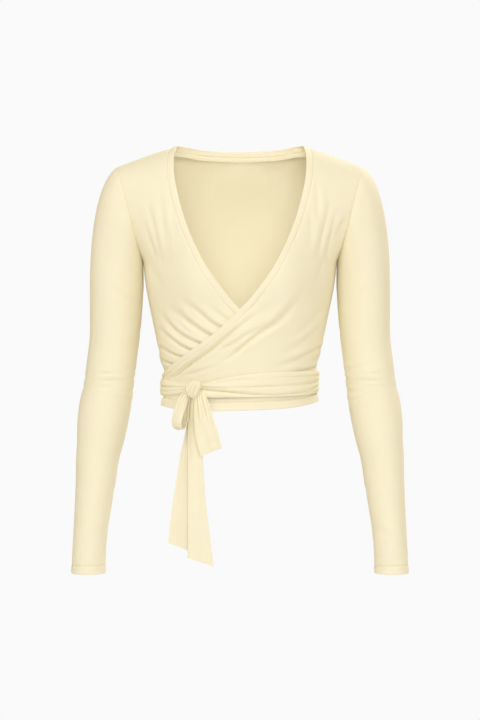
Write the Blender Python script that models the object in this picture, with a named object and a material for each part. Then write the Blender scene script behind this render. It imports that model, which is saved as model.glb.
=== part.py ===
"""Wrap top in pale jersey, as worn: a hollow form cut into the pieces that a maker sews.

Frame: metres, +Z up, the front faces -Y and +X is the wearer's left.
Origin: level with the high points of the shoulders, midway between them.
Every piece of cloth is a wall: an outer grid of points and an inner one, closed with rims.
"""

import math

import bpy
import numpy as np

# --- Driving dimensions ---------------------------------------------------------------------

SHOULDER_X = 0.184  # from the middle to the top of each armhole
SHOULDER_SLOPE = 0.375  # how much a shoulder falls for each metre outwards
NECK_X = 0.105  # from the middle to the binding seam at each shoulder
NECK_DEPTH = 0.057  # how far the back neck lies behind the shoulder seams
NECK_DROP = 0.009  # how far the back neck dips at its middle
ARMPIT_Z = -0.174
HEM_Z = -0.386  # at the side seams
HEM_DIP = 0.008  # the hem hangs this much lower at the middle
HEM_TILT = 0.002  # and this much lower at the wearer's right side than midway
ARMHOLE_HALF_FRONT = 0.046  # half of the armhole's breadth, towards the front
ARMHOLE_HALF_BACK = 0.044
SLEEVE_HEAD_Z = -0.210  # where the sleeve becomes a level tube
SLEEVE_END_Z = -0.6240
CUFF = 0.0138  # height of the hem at the wrist
BAND = 0.0095  # width of the neck binding

CLOTH = 0.0015  # thickness of the jersey wall
BAND_CLOTH = 0.0022  # thickness where it is folded
SEAM = 0.0003  # gap between two pieces at a seam
LAYER = 0.0026  # from the under front's face to the over front's face
PROUD = 0.0004  # how far the binding and the cuffs stand out
NECK_STAND = 0.0027  # how far the binding's free edge stands up at each shoulder

END_ANGLE = math.radians(88)  # how far round each front's wrapped end reaches
BAND_END_ROW = 5  # the binding stops this many rows above the hem

FRONT_COLUMNS = 22
UNDER_COLUMNS = 19
NECK_COLUMNS = 12
SHOULDER_COLUMNS = 4
ARMHOLE_ROWS = 10
CAP_ROWS = 6

KNOT_X = -0.0592
KNOT_Z = -0.3630
KNOT_LIFT = 0.0078  # from the worn form to the back of the knot
KNOT_SIZE = (0.0125, 0.0085, 0.0150)  # half width, half depth, half height
HANG = 0.0010  # the loop and the tails hang this far in front of the back of the knot


class Table:
    """Sizes in rows under named columns; at() reads a column smoothly along the first one."""

    def __init__(self, columns, *rows):
        self.names = columns.split()
        self.rows = np.array(rows, dtype=float)

    def column(self, name):
        return self.rows[:, self.names.index(name)]

    def at(self, name, where):
        keys = self.rows[:, 0]
        values = self.column(name)
        slopes = np.gradient(values, keys)
        where = np.clip(where, keys[0], keys[-1])
        i = np.clip(np.searchsorted(keys, where, side="right") - 1, 0, len(keys) - 2)
        step = keys[i + 1] - keys[i]
        t = (where - keys[i]) / step
        start = (1 + 2 * t) * (1 - t) ** 2 * values[i] + t * (1 - t) ** 2 * step * slopes[i]
        end = t * t * (3 - 2 * t) * values[i + 1] - t * t * (1 - t) * step * slopes[i + 1]
        return start + end


# The body's level sections.
TORSO = Table(
    "level half_width front back",
    (-0.394, 0.1200, 0.094, 0.086),
    (-0.375, 0.1150, 0.092, 0.081),
    (-0.357, 0.1126, 0.091, 0.078),
    (-0.339, 0.1140, 0.092, 0.078),
    (-0.321, 0.1180, 0.094, 0.079),
    (-0.303, 0.1222, 0.096, 0.081),
    (-0.285, 0.1260, 0.098, 0.084),
    (-0.249, 0.1335, 0.102, 0.089),
    (-0.213, 0.1405, 0.106, 0.093),
    (-0.174, 0.1450, 0.107, 0.096),
    (-0.130, 0.1450, 0.101, 0.097),
    (-0.080, 0.1450, 0.092, 0.095),
    (-0.030, 0.1450, 0.085, 0.090),
    (0.000, 0.1450, 0.083, 0.088),
)

# The free edge of a front's binding: how far it is towards its own side at each level.
NECKLINE = Table(
    "level free_x",
    (-0.356, -0.1180),
    (-0.348, -0.1155),
    (-0.3373, -0.1087),
    (-0.327, -0.0985),
    (-0.3166, -0.0850),
    (-0.297, -0.0575),
    (-0.280, -0.0355),
    (-0.262, -0.0158),
    (-0.2472, -0.0005),
    (-0.235, 0.0116),
    (-0.215, 0.0275),
    (-0.190, 0.0455),
    (-0.155, 0.0645),
    (-0.120, 0.0790),
    (-0.085, 0.0895),
    (-0.060, 0.0950),
    (-0.036, 0.0980),
    (-0.017, 0.0975),
    (0.000, 0.0935),
)

# A sleeve's level sections, on the wearer's left.
SLEEVE = Table(
    "level centre half_width half_depth centre_y",
    (-0.6420, 0.2254, 0.0249, 0.0265, -0.026),
    (-0.6090, 0.2244, 0.0250, 0.0275, -0.025),
    (-0.5730, 0.2221, 0.0255, 0.0290, -0.023),
    (-0.5370, 0.2185, 0.0275, 0.0315, -0.020),
    (-0.5010, 0.2150, 0.0298, 0.0345, -0.017),
    (-0.4650, 0.2120, 0.0325, 0.0375, -0.013),
    (-0.4470, 0.2090, 0.0345, 0.0390, -0.011),
    (-0.4110, 0.2047, 0.0382, 0.0410, -0.007),
    (-0.3840, 0.2010, 0.0390, 0.0420, -0.004),
    (-0.3570, 0.1965, 0.0375, 0.0420, -0.002),
    (-0.3210, 0.1920, 0.0373, 0.0425, 0.000),
    (-0.2850, 0.1877, 0.0375, 0.0435, 0.001),
    (-0.2490, 0.1860, 0.0390, 0.0450, 0.001),
    (-0.2100, 0.1848, 0.0402, 0.0460, 0.001),
)

# Folds, seen from the front: a line from one end to the other, bowed sideways at its middle.
# A negative depth is a trough.
UNDER_FOLDS = Table(
    "x0 z0 x1 z1 bow width depth",
    (-0.030, -0.268, -0.082, -0.226, 0.004, 0.0075, -0.0036),
    (-0.052, -0.292, -0.110, -0.250, 0.005, 0.0070, -0.0042),
    (-0.074, -0.308, -0.116, -0.280, 0.003, 0.0060, -0.0036),
    (-0.090, -0.320, -0.121, -0.300, 0.002, 0.0055, -0.0030),
    (-0.144, -0.095, -0.130, -0.165, 0.003, 0.0090, -0.0030),
    (-0.118, -0.068, -0.112, -0.122, 0.002, 0.0090, -0.0024),
    (-0.098, -0.112, -0.096, -0.135, 0.000, 0.0070, -0.0016),
)
OVER_FOLDS = Table(
    "x0 z0 x1 z1 bow width depth",
    (0.084, -0.232, -0.034, -0.315, -0.006, 0.0070, 0.0042),
    (0.040, -0.232, -0.018, -0.282, -0.004, 0.0065, 0.0032),
    (0.119, -0.302, 0.048, -0.334, -0.003, 0.0065, 0.0034),
    (0.119, -0.330, 0.076, -0.337, -0.002, 0.0050, 0.0024),
    (0.145, -0.090, 0.133, -0.150, -0.003, 0.0090, -0.0030),
    (0.129, -0.110, 0.122, -0.148, -0.002, 0.0080, -0.0022),
    (0.114, -0.048, 0.112, -0.090, 0.000, 0.0080, -0.0018),
)
BACK_FOLDS = Table(
    "x0 z0 x1 z1 bow width depth",
    (-0.120, -0.300, -0.040, -0.330, 0.004, 0.0070, -0.0024),
    (0.120, -0.290, 0.030, -0.326, -0.004, 0.0070, -0.0026),
    (-0.118, -0.262, -0.050, -0.296, 0.005, 0.0080, -0.0018),
    (0.124, -0.250, 0.060, -0.284, -0.005, 0.0080, -0.0018),
    (-0.112, -0.085, -0.106, -0.140, 0.002, 0.0090, -0.0016),
    (0.108, -0.095, 0.104, -0.145, -0.002, 0.0090, -0.0016),
)

# The ties: the middle and half height of the strip at each angle round the waist, from the
# middle of the front towards the wearer's left, and the gap under it.
TIE_OVER_FRONT = Table(
    "angle middle half_height lift",
    (-32.0, -0.3655, 0.0062, 0.0034),
    (-26.0, -0.3650, 0.0085, 0.0032),
    (-8.0, -0.3605, 0.0140, 0.0028),
    (15.0, -0.3570, 0.0165, 0.0024),
    (45.0, -0.3550, 0.0168, 0.0022),
    (70.0, -0.3515, 0.0150, 0.0030),
    (89.8, -0.3490, 0.0125, 0.0034),
)
TIE_OVER_BACK = Table(
    "angle middle half_height lift",
    (90.2, -0.3490, 0.0125, 0.0034),
    (105.0, -0.3520, 0.0110, 0.0034),
    (120.0, -0.3580, 0.0095, 0.0034),
    (138.0, -0.3640, 0.0090, 0.0011),
    (180.0, -0.3660, 0.0090, 0.0008),
    (225.0, -0.3645, 0.0090, 0.0009),
    (255.0, -0.3600, 0.0095, 0.0008),
    (271.4, -0.3590, 0.0100, 0.0008),
)
TIE_UNDER_BACK = Table(
    "angle middle half_height lift",
    (90.3, -0.3470, 0.0080, 0.0007),
    (105.0, -0.3455, 0.0080, 0.0008),
    (130.0, -0.3420, 0.0080, 0.0010),
    (180.0, -0.3420, 0.0085, 0.0008),
    (214.0, -0.3422, 0.0088, 0.0010),
    (228.0, -0.3440, 0.0090, 0.0036),
    (240.0, -0.3490, 0.0100, 0.0042),
    (255.0, -0.3560, 0.0110, 0.0042),
    (269.8, -0.3610, 0.0120, 0.0042),
)
TIE_UNDER_SIDE = Table(
    "angle middle half_height lift",
    (270.2, -0.3610, 0.0120, 0.0042),
    (290.0, -0.3620, 0.0105, 0.0038),
    (312.0, -0.3640, 0.0075, 0.0034),
    (327.2, -0.3655, 0.0062, 0.0034),
)

# The loop of the half bow: its path from the knot, down its front and up its back.
BOW_LOOP = Table(
    "step x z out half_width",
    (0.00, -0.0781, -0.3728, 0.0060, 0.0034),
    (0.15, -0.0853, -0.3830, 0.0100, 0.0060),
    (0.35, -0.0895, -0.3990, 0.0125, 0.0085),
    (0.48, -0.0910, -0.4150, 0.0115, 0.0098),
    (0.56, -0.0910, -0.4225, 0.0080, 0.0096),
    (0.64, -0.0900, -0.4190, 0.0045, 0.0094),
    (0.78, -0.0870, -0.4040, 0.0030, 0.0080),
    (1.00, -0.0850, -0.3850, 0.0035, 0.0050),
)

# The short tail: its two long edges, from the knot to the cut end, and how far out it hangs.
TAIL_SHORT = Table(
    "step left_x left_z right_x right_z out",
    (0.00, -0.0680, -0.3783, -0.0620, -0.3783, 0.0034),
    (0.15, -0.0662, -0.3900, -0.0500, -0.3880, 0.0075),
    (0.40, -0.0657, -0.4130, -0.0378, -0.4082, 0.0095),
    (0.70, -0.0632, -0.4380, -0.0305, -0.4320, 0.0085),
    (1.00, -0.0574, -0.4612, -0.0262, -0.4489, 0.0080),
)

# The long tail: its two long edges and the fold between them, from the knot to the cut end.
TAIL_LONG = Table(
    "step left_x left_z fold_x fold_z right_x right_z out",
    (0.00, -0.0740, -0.3794, -0.0710, -0.3794, -0.0680, -0.3794, 0.0008),
    (0.12, -0.0765, -0.4080, -0.0733, -0.4080, -0.0600, -0.4080, -0.0020),
    (0.36, -0.0872, -0.4600, -0.0742, -0.4640, -0.0544, -0.4640, -0.0005),
    (0.64, -0.0974, -0.5230, -0.0741, -0.5300, -0.0494, -0.5300, 0.0000),
    (1.00, -0.1050, -0.5885, -0.0738, -0.6100, -0.0379, -0.6230, 0.0010),
)


# --- Small helpers ----------------------------------------------------------------------------


def unit(vectors):
    """Vectors of length one."""
    return vectors / np.maximum(np.linalg.norm(vectors, axis=-1, keepdims=True), 1e-12)


def points(x, y, z):
    """Three arrays of coordinates joined into an array of points."""
    return np.stack(np.broadcast_arrays(x, y, z), axis=-1)


def outward(grid, sign, ring=False):
    """The unit normal at each point of a grid, on the side that sign picks."""
    if ring:
        across = np.roll(grid, -1, axis=1) - np.roll(grid, 1, axis=1)
    else:
        across = np.gradient(grid, axis=1)
    return sign * unit(np.cross(across, np.gradient(grid, axis=0)))


def mitre(along, normal_a, away_a, normal_b, away_b):
    """How two pieces share a seam: the direction into the cloth and each one's step back."""
    bisector = -(normal_a + normal_b)
    corner = away_a + away_b
    side = np.sign(np.sum(bisector * corner, axis=-1, keepdims=True))
    direction = unit(bisector + side * corner)
    reach = np.sum(direction * -normal_a, axis=-1, keepdims=True)
    square = unit(np.cross(along, direction))
    steps = []
    for normal, own in ((normal_a, away_a), (normal_b, away_b)):
        towards = np.sign(np.sum(square * (own - normal), axis=-1, keepdims=True))
        steps.append(square * towards * SEAM / 2)
    return direction / np.clip(reach, 0.75, 1.0), steps


def square_to(along, vectors):
    """Unit vectors with the part along a line taken away."""
    return unit(vectors - along * np.sum(vectors * along, axis=-1, keepdims=True))


# --- The worn form ---------------------------------------------------------------------------


def shoulder_line(x):
    """Height of the shoulder seam at a distance from the middle, rounded off at the neck."""
    soft = 0.012
    outside = soft * np.log1p(np.exp((np.abs(x) - 0.100) / soft))
    return -0.0004 - SHOULDER_SLOPE * outside


def hem_level(angle):
    """Height of the hem at an angle round the body."""
    return HEM_Z - HEM_DIP * np.cos(angle) ** 2 + HEM_TILT * np.sin(angle)


def armhole(rise, half):
    """The armhole's distance from the middle and its half breadth, from armpit 0 to shoulder 1."""
    start = float(TORSO.at("half_width", ARMPIT_Z))
    return start + (SHOULDER_X - start) * rise**0.92, 2 * half * np.sqrt(rise * (1 - rise))


def bust(x, z):
    """How far the soft bust stands forward of the level sections."""
    across = (np.abs(x) - 0.070) / 0.040
    down = (z + 0.205) / 0.052
    return 0.013 * np.exp(-across**2 - down**2)


def section(row, back):
    """Half width, depth and side angle of the body at a row: -1 hem, 0 armpit, 1 shoulder."""
    rise = np.clip(row, 0, 1 - 1e-9)
    level = ARMPIT_Z + np.where(row < 0, row * (ARMPIT_Z - HEM_Z), row * -ARMPIT_Z)
    depth = TORSO.at("back" if back else "front", level) * np.sqrt(1 - rise**2.5)
    half = ARMHOLE_HALF_BACK if back else ARMHOLE_HALF_FRONT
    edge, breadth = armhole(rise, half)
    side = np.where(row > 0, np.arccos(np.clip(breadth / depth, 0, 1)), math.pi / 2)
    width = np.where(row > 0, edge / np.sin(side), TORSO.at("half_width", level))
    return width, depth, side


def form(row, angle, back=False):
    """Points of the worn form at rows and at angles round the body from its middle line."""
    width, depth, _ = section(row, back)
    x = width * np.sin(angle)
    top = shoulder_line(x)
    if back:
        inside = np.clip(1 - (x / NECK_X) ** 2, 0, 1)
        top = top - NECK_DROP * inside**2
    fall = np.where(row < 0, row * (ARMPIT_Z - hem_level(angle)), row * (top - ARMPIT_Z))
    z = ARMPIT_Z + fall
    if not back:
        return points(x, -depth * np.cos(angle) - bust(x, z), z)
    rise = np.clip(row, 0, 1)
    reach = NECK_X + 0.10 * (1 - rise)
    rounding = 0.5 + 1.5 * (1 - rise)
    neck = NECK_DEPTH * (1 - np.sqrt(1 - rise**5))
    neck = neck * np.clip(1 - (x / reach) ** 2, 0, 1) ** rounding
    return points(x, depth * np.cos(angle) + neck, z)


def level_normal(row, angle, back=False):
    """The level unit vector that points out of the body."""
    width, depth, _ = section(row, back)
    y = np.cos(angle) / depth
    return unit(points(np.sin(angle) / width, y if back else -y, 0.0))


def folds(table, x, z):
    """How far folds move the cloth outwards at points seen from the front."""
    total = np.zeros(np.broadcast(x, z).shape)
    for x0, z0, x1, z1, bow, width, depth in table.rows:
        length = math.hypot(x1 - x0, z1 - z0)
        along = ((x - x0) * (x1 - x0) + (z - z0) * (z1 - z0)) / length**2
        off = ((x - x0) * (z1 - z0) - (z - z0) * (x1 - x0)) / length
        off = off - bow * 4 * along * (1 - along)
        ends = np.exp(-(np.clip(np.abs(2 * along - 1) - 0.75, 0, None) / 0.30) ** 2)
        total = total + depth * ends * np.exp(-((off / width) ** 2))
    return total


def layer_lift(angle, z, over):
    """How far a front stands off the form: the over front outside, the under front inside."""
    ramp = np.clip(angle / math.pi + 0.5, 0, 1)
    lift = (1 - ramp) if over else -ramp
    wrapped = np.clip((-0.130 - z) / 0.080, 0, 1)
    return LAYER * lift * wrapped * wrapped * (3 - 2 * wrapped)


def waist_hold(z):
    """The share of a fold's depth that is left near the ties, which hold the cloth flat."""
    return np.clip((z + 0.340) / 0.014, 0, 1)


def around(angle, z, lift, front_lift=0.0):
    """Points round the waist at angles from the middle of the front, a lift off the form."""
    width = TORSO.at("half_width", z)
    front = np.cos(angle) >= 0
    depth = np.where(front, TORSO.at("front", z), TORSO.at("back", z))
    x = width * np.sin(angle)
    y = -depth * np.cos(angle)
    out = unit(points(np.sin(angle) / width, -np.cos(angle) / depth, 0.0))
    y = y - np.where(front, bust(x, z), 0.0)
    return points(x, y, z) + out * np.expand_dims(lift + front_lift, -1)


# --- Building solids ---------------------------------------------------------------------------


def jersey(name, colour, roughness):
    """Pale knitted cloth."""
    material = bpy.data.materials.new(name)
    material.use_nodes = True
    shader = material.node_tree.nodes["Principled BSDF"]
    shader.inputs["Base Color"].default_value = (*colour, 1.0)
    shader.inputs["Roughness"].default_value = roughness
    shader.inputs["Metallic"].default_value = 0.0
    material.diffuse_color = (*colour, 1.0)
    return material


def wall(name, outer, inner, material, ring=False):
    """One closed solid between two grids of points, with a rim along every open edge.

    Outer and inner squares are halved along the same diagonal, so a twisted wall stays even.
    """
    rows, columns = outer.shape[:2]
    corner = np.arange(rows * columns).reshape(rows, columns)
    if ring:
        corner = np.hstack([corner, corner[:, :1]])
    a, b, c, d = corner[:-1, :-1], corner[:-1, 1:], corner[1:, 1:], corner[1:, :-1]
    halves = np.stack([a, b, c, a, c, d], axis=-1).reshape(-1, 3)
    faces = halves.tolist() + (halves[:, ::-1] + rows * columns).tolist()
    rims = [corner[0, ::-1], corner[-1]]
    if not ring:
        rims += [corner[:, 0], corner[::-1, -1]]
    for rim in rims:
        for a, b in zip(rim[:-1].tolist(), rim[1:].tolist()):
            faces.append([a, b, b + rows * columns, a + rows * columns])
    mesh = bpy.data.meshes.new(name)
    coordinates = np.concatenate([outer.reshape(-1, 3), inner.reshape(-1, 3)])
    mesh.from_pydata(coordinates.tolist(), [], faces)
    return finish(name, mesh, material)


def finish(name, mesh, material):
    """Turns a closed mesh's faces outwards, smooths it and links it as a named object."""
    mesh.update()
    volume = 0.0
    corners = np.array([v.co for v in mesh.vertices])
    for polygon in mesh.polygons:
        loop = corners[list(polygon.vertices)]
        for i in range(1, len(loop) - 1):
            volume += np.dot(loop[0], np.cross(loop[i], loop[i + 1]))
    if volume < 0:
        mesh.flip_normals()
    mesh.shade_smooth()
    mesh.set_sharp_from_angle(angle=math.radians(50))
    mesh.materials.append(material)
    piece = bpy.data.objects.new(name, mesh)
    top.objects.link(piece)
    return piece


def strip(name, middle, thickness, material):
    """A wall of cloth centred on a grid of points."""
    normal = outward(middle, 1)
    return wall(name, middle + normal * thickness / 2, middle - normal * thickness / 2, material)


# --- Body panels ----------------------------------------------------------------------------


def row_values():
    """Rows shared by the body's panels, close together at the hem, the armpit and the shoulder."""
    below = np.array(
        [-1.0, -0.948, -0.905, -0.866, -0.835, -0.815, -0.798, -0.780, -0.758, -0.732]
        + [-0.695, -0.645, -0.59, -0.53, -0.47, -0.41, -0.34, -0.27, -0.19, -0.10]
    )
    above = (1 - np.cos(np.linspace(0, math.pi, ARMHOLE_ROWS + 1))) / 2
    return np.concatenate([below, above])


def edge_angles(rows, width):
    """A front binding's angle at each row, a width of cloth away from its free edge."""
    angle = np.zeros(len(rows))
    for _ in range(6):
        z = form(rows, angle)[:, 2]
        half_width, depth, _ = section(rows, False)
        reach = np.clip(NECKLINE.at("free_x", z) / half_width, -0.9994, 0.9994)
        angle = np.arcsin(reach)
    if width == 0:
        return np.maximum(angle, -END_ANGLE)
    turn = np.sqrt((half_width * np.cos(angle)) ** 2 + (depth * np.sin(angle)) ** 2)
    turn = np.maximum(turn, 0.030)
    slant = np.gradient(angle * turn, z)
    slant = np.where(rows > 0.9, 0.0, slant)
    across = np.minimum(width * np.sqrt(1 + np.clip(slant, -1.4, 1.4) ** 2), 0.0145)
    return np.maximum(angle + across / turn, -END_ANGLE)


def front_face(rows, angle, over):
    """Points of a front's outer face: the worn form, its layer and its folds."""
    base = form(rows, angle)
    x, z = base[..., 0], base[..., 2]
    creases = folds(OVER_FOLDS if over else UNDER_FOLDS, x, z) * waist_hold(z)
    near_seam = np.clip((math.pi / 2 - np.abs(angle)) / 0.12, 0, 1)
    creases = creases * np.where(rows < 0.05, near_seam, 1.0)
    lift = layer_lift(angle, z, over) + creases
    return base + level_normal(rows, angle) * lift[..., None]


def back_face(rows, angle):
    """Points of the back's outer face."""
    base = form(rows, angle, back=True)
    creases = folds(BACK_FOLDS, base[..., 0], base[..., 2]) * waist_hold(base[..., 2])
    near_seam = np.clip((math.pi / 2 - np.abs(angle)) / 0.12, 0, 1)
    creases = creases * np.where(rows < 0.05, near_seam, 1.0) * np.where(rows > 0.9, 0, 1)
    return base + level_normal(rows, angle, back=True) * creases[..., None]


def inwards(face, rows, angle, sign):
    """Unit vectors into the cloth, square to a face at its rows and angles."""
    small = 1e-4
    across = face(rows, angle + small) - face(rows, angle - small)
    below = np.maximum(rows - small, -1.0)
    above = np.minimum(rows + small, 1.0)
    return -sign * unit(np.cross(across, face(above, angle) - face(below, angle)))


def front_panel(edge, columns, over):
    """A front's outer points and the directions into its cloth."""
    _, _, side = section(ROWS, False)
    share = np.linspace(0, 1, columns + 1) ** (1.15 if over else 1.0)
    angle = edge[:, None] + (side - edge)[:, None] * share[None, :]
    angle = angle if over else -angle[:, ::-1]
    rows = np.broadcast_to(ROWS[:, None], angle.shape)

    def face(r, a):
        return front_face(r, a, over)

    return [face(rows, angle), inwards(face, rows, angle, 1)]


def back_panel():
    """The back's outer points, with a column at each binding seam, and the way into its cloth."""
    width, _, side = section(ROWS[-1:], True)
    neck = math.asin(NECK_X / width[0]) / side[0]
    inside = neck * np.sin(np.linspace(-math.pi / 2, math.pi / 2, NECK_COLUMNS + 1))
    outside = np.linspace(neck, 1, SHOULDER_COLUMNS + 1)[1:]
    share = np.concatenate([-outside[::-1], inside, outside])
    _, _, side = section(ROWS, True)
    angle = side[:, None] * share[None, :]
    rows = np.broadcast_to(ROWS[:, None], angle.shape)
    return [back_face(rows, angle), inwards(back_face, rows, angle, -1)]


def shoulder_normal(x):
    """The direction square to a shoulder seam, upwards."""
    return unit(points(SHOULDER_SLOPE * np.sign(x), 0.0, 1.0))


def settle_seams(grid, inward, side_columns, top_columns, y_side):
    """Lays side and shoulder seams in the plane between front and back, half a gap apart."""
    below = ROWS <= 0
    for column in side_columns:
        grid[below, column, 1] = y_side * SEAM / 2
        flat = inward[below, column]
        flat[:, 1] = 0.0
        inward[below, column] = unit(flat)
    grid[-1, top_columns, 1] = y_side * SEAM / 2
    inward[-1, top_columns] = -shoulder_normal(grid[-1, top_columns, 0])


def thick(grid, inward, thickness):
    """The inner grid of a wall, thicker at the turned hem."""
    depth = np.full(grid.shape[:2], thickness)
    depth[:2] += 0.0004
    return grid + inward * depth[..., None]


# --- Sleeves --------------------------------------------------------------------------------


def armhole_ring(front, back, column):
    """The armhole's points in order: from the armpit up the front and down the back."""
    first = len(ROWS) - 1 - ARMHOLE_ROWS
    return np.concatenate([front[first:, column], back[first + 1 : -1, column][::-1]])


def sleeve_grid(ring, side):
    """A sleeve's outer face: its head from the armhole ring, then level sections."""
    turn = np.linspace(0, 2 * math.pi, len(ring), endpoint=False)
    levels = np.linspace(SLEEVE_HEAD_Z, SLEEVE_END_Z, 15)

    def tube(level):
        size = {name: SLEEVE.at(name, level) for name in SLEEVE.names[1:]}
        x = size["centre"] - size["half_width"] * np.cos(turn)
        y = size["centre_y"] - size["half_depth"] * np.sin(turn)
        return points(side * x, y, level)

    end = tube(SLEEVE_HEAD_Z)
    high = (1 - np.cos(turn)) / 2
    leave = points(side * 0.100 * high**1.2, -0.014 * np.sin(turn), -0.036 - 0.034 * high)
    arrive = points(0.0, 0.0, -0.036 - 0.160 * high)
    grid = []
    for t in np.linspace(0, 1, CAP_ROWS + 1)[:-1]:
        start_share = (1 + 2 * t) * (1 - t) ** 2
        point = start_share * ring + (1 - start_share) * end
        grid.append(point + t * (1 - t) ** 2 * leave - t * t * (1 - t) * arrive)
    for level in levels:
        elbow = 0.0012 * np.sin((level + 0.33) / 0.011) * np.exp(-(((level + 0.36) / 0.030) ** 2))
        face = tube(level)
        centre = face.mean(axis=0)
        crease = elbow * (1 + np.cos(turn)) / 2
        grid.append(face + unit(face - centre) * crease[:, None])
    return np.array(grid)


def build_sleeve(name, front, back, column, side):
    """One sleeve, its rims mitred to the two body panels that it is sewn to."""
    ring = armhole_ring(front[0], back[0], column)
    grid = sleeve_grid(ring, side)
    normal = outward(grid, -side, ring=True)
    inward = -normal
    closed = np.vstack([ring[-1:], ring, ring[:1]])
    along = unit(closed[2:] - closed[:-2])
    sleeve_away = square_to(along, grid[1] - ring)
    body_normal = -armhole_ring(front[1], back[1], column)
    neighbour = armhole_ring(front[0], back[0], -2 if column == -1 else 1)
    body_away = square_to(along, neighbour - ring)
    body_away[0] = (0.0, 0.0, -1.0)
    shared, steps = mitre(along, body_normal, body_away, normal[0], sleeve_away)
    inward[0] = shared
    grid[0] += steps[1]
    first = len(ROWS) - 1 - ARMHOLE_ROWS
    front_part = slice(0, ARMHOLE_ROWS + 1)
    back_part = np.r_[0, len(ring) - 1 : ARMHOLE_ROWS - 1 : -1]
    for panel, part in ((front, front_part), (back, back_part)):
        move = steps[0][part].copy()
        move[[0, -1], 1] = 0.0
        panel[0][first:, column] += move
        panel[1][first:, column] = shared[part]
    wall(name, grid, grid + inward * CLOTH, cloth, ring=True)
    return grid, inward


def build_cuff(name, grid, inward, side):
    """The narrow turned hem at a wrist."""
    last = grid[-1]
    down = unit(grid[-1] - grid[-2])
    levels = (SEAM, CUFF * 0.35, CUFF * 0.8, CUFF)
    bulge = (PROUD, PROUD * 1.6, PROUD * 1.6, PROUD * 0.5)
    outer = [last + down * d - inward[-1] * b for d, b in zip(levels, bulge)]
    outer = np.array(outer)
    inner = outer - outward(outer, -side, ring=True) * BAND_CLOTH
    wall(name, outer, inner, band_cloth, ring=True)


# --- Neck binding -----------------------------------------------------------------------------


def build_front_band(name, panel, seam_column, over):
    """The binding along a front's wrapped edge, from the shoulder down to the side."""
    grid, inward = panel
    last = BAND_END_ROW
    rows = ROWS[last:]
    free = edge_angles(rows, 0.0)
    free = free if over else -free
    edge = grid[last:, seam_column]
    base = form(rows, free)
    lift = layer_lift(free, base[:, 2], over)
    free_edge = base + level_normal(rows, free) * lift[:, None]
    free_edge[:, 2] += NECK_STAND * np.clip((rows - 0.8) / 0.2, 0, 1) ** 2
    free_edge[-1, 1] = edge[-1, 1]
    across = unit(free_edge - edge)
    near = edge + across * SEAM
    share = np.array([0.0, 0.55, 1.0])[None, :, None]
    middle = near[:, None] + (free_edge - near)[:, None] * share
    normal = -inward[last:, seam_column][:, None]
    proud = np.array([PROUD, PROUD * 1.8, PROUD])[None, :]
    clear = 0.0007 * np.clip((np.abs(free) - 1.0) / 0.4, 0, 1) if over else 0 * free
    outer = middle + normal * (proud + clear[:, None])[..., None]
    inner = outer - normal * BAND_CLOTH
    wall(name, outer, inner, band_cloth)


def build_back_band(name, panel):
    """The binding along the back neck."""
    grid, inward = panel
    columns = slice(SHOULDER_COLUMNS, SHOULDER_COLUMNS + NECK_COLUMNS + 1)
    edge = grid[-1, columns]
    turn = np.arcsin(np.clip(edge[:, 0] / NECK_X, -1, 1))
    free_x = float(NECKLINE.at("free_x", 0.0))
    level = shoulder_line(free_x) + NECK_STAND - 0.0026 * np.cos(turn) ** 3
    free_edge = points(free_x * np.sin(turn), (NECK_DEPTH - 0.002) * np.cos(turn), level)
    free_edge[[0, -1], 1] = SEAM / 2
    near = edge + unit(free_edge - edge) * SEAM
    share = np.array([0.0, 0.5, 1.0])[:, None, None]
    middle = near[None] + (free_edge - near)[None] * share
    own = -inward[-1, columns]
    level_out = unit(points(np.sin(turn), 1.2 * np.cos(turn) + 1e-9, 0.35))
    normal = unit(own[None] + 1.2 * share * (level_out - own)[None])
    normal[:, [0, -1]] = shoulder_normal(edge[[0, -1], 0])[None]
    outer = middle + normal * PROUD
    inner = outer - normal * BAND_CLOTH
    wall(name, outer, inner, band_cloth)


# --- Ties, knot and bow -----------------------------------------------------------------------


def build_tie(name, table, steps, pleats, front_layer=False):
    """A strip wound round the waist, with pleats that run along it."""
    first, last = table.rows[0, 0], table.rows[-1, 0]
    degrees = np.linspace(first, last, steps + 1)[:, None]
    across = np.linspace(-1, 1, 4 * pleats - 1 if pleats > 1 else 4)[None, :]
    size = {key: table.at(key, degrees) for key in table.names[1:]}
    angle = np.radians(degrees)
    z = size["middle"] + size["half_height"] * across
    pleat = 0.0012 * (1 - np.cos(math.pi * pleats * (across + 1))) / 2
    pleat = pleat * np.clip(size["half_height"] / 0.012, 0.3, 1)
    under = layer_lift(angle, z, True) if front_layer else 0.0
    lift = np.broadcast_to(size["lift"] + pleat, z.shape)
    angle = np.broadcast_to(angle, z.shape)
    inner = around(angle, z, lift, under)
    outer = around(angle, z, lift + CLOTH, under)
    wall(name, outer, inner, cloth)


def knot_frame():
    """The knot's centre and the directions along the waist, outwards and up."""
    width = float(TORSO.at("half_width", KNOT_Z))
    angle = np.array(math.asin(KNOT_X / width))
    base = around(angle, np.array(KNOT_Z), np.array(0.0))
    out = around(angle, np.array(KNOT_Z), np.array(1.0)) - base
    return base, np.array([-out[1], out[0], 0.0]), out


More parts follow.
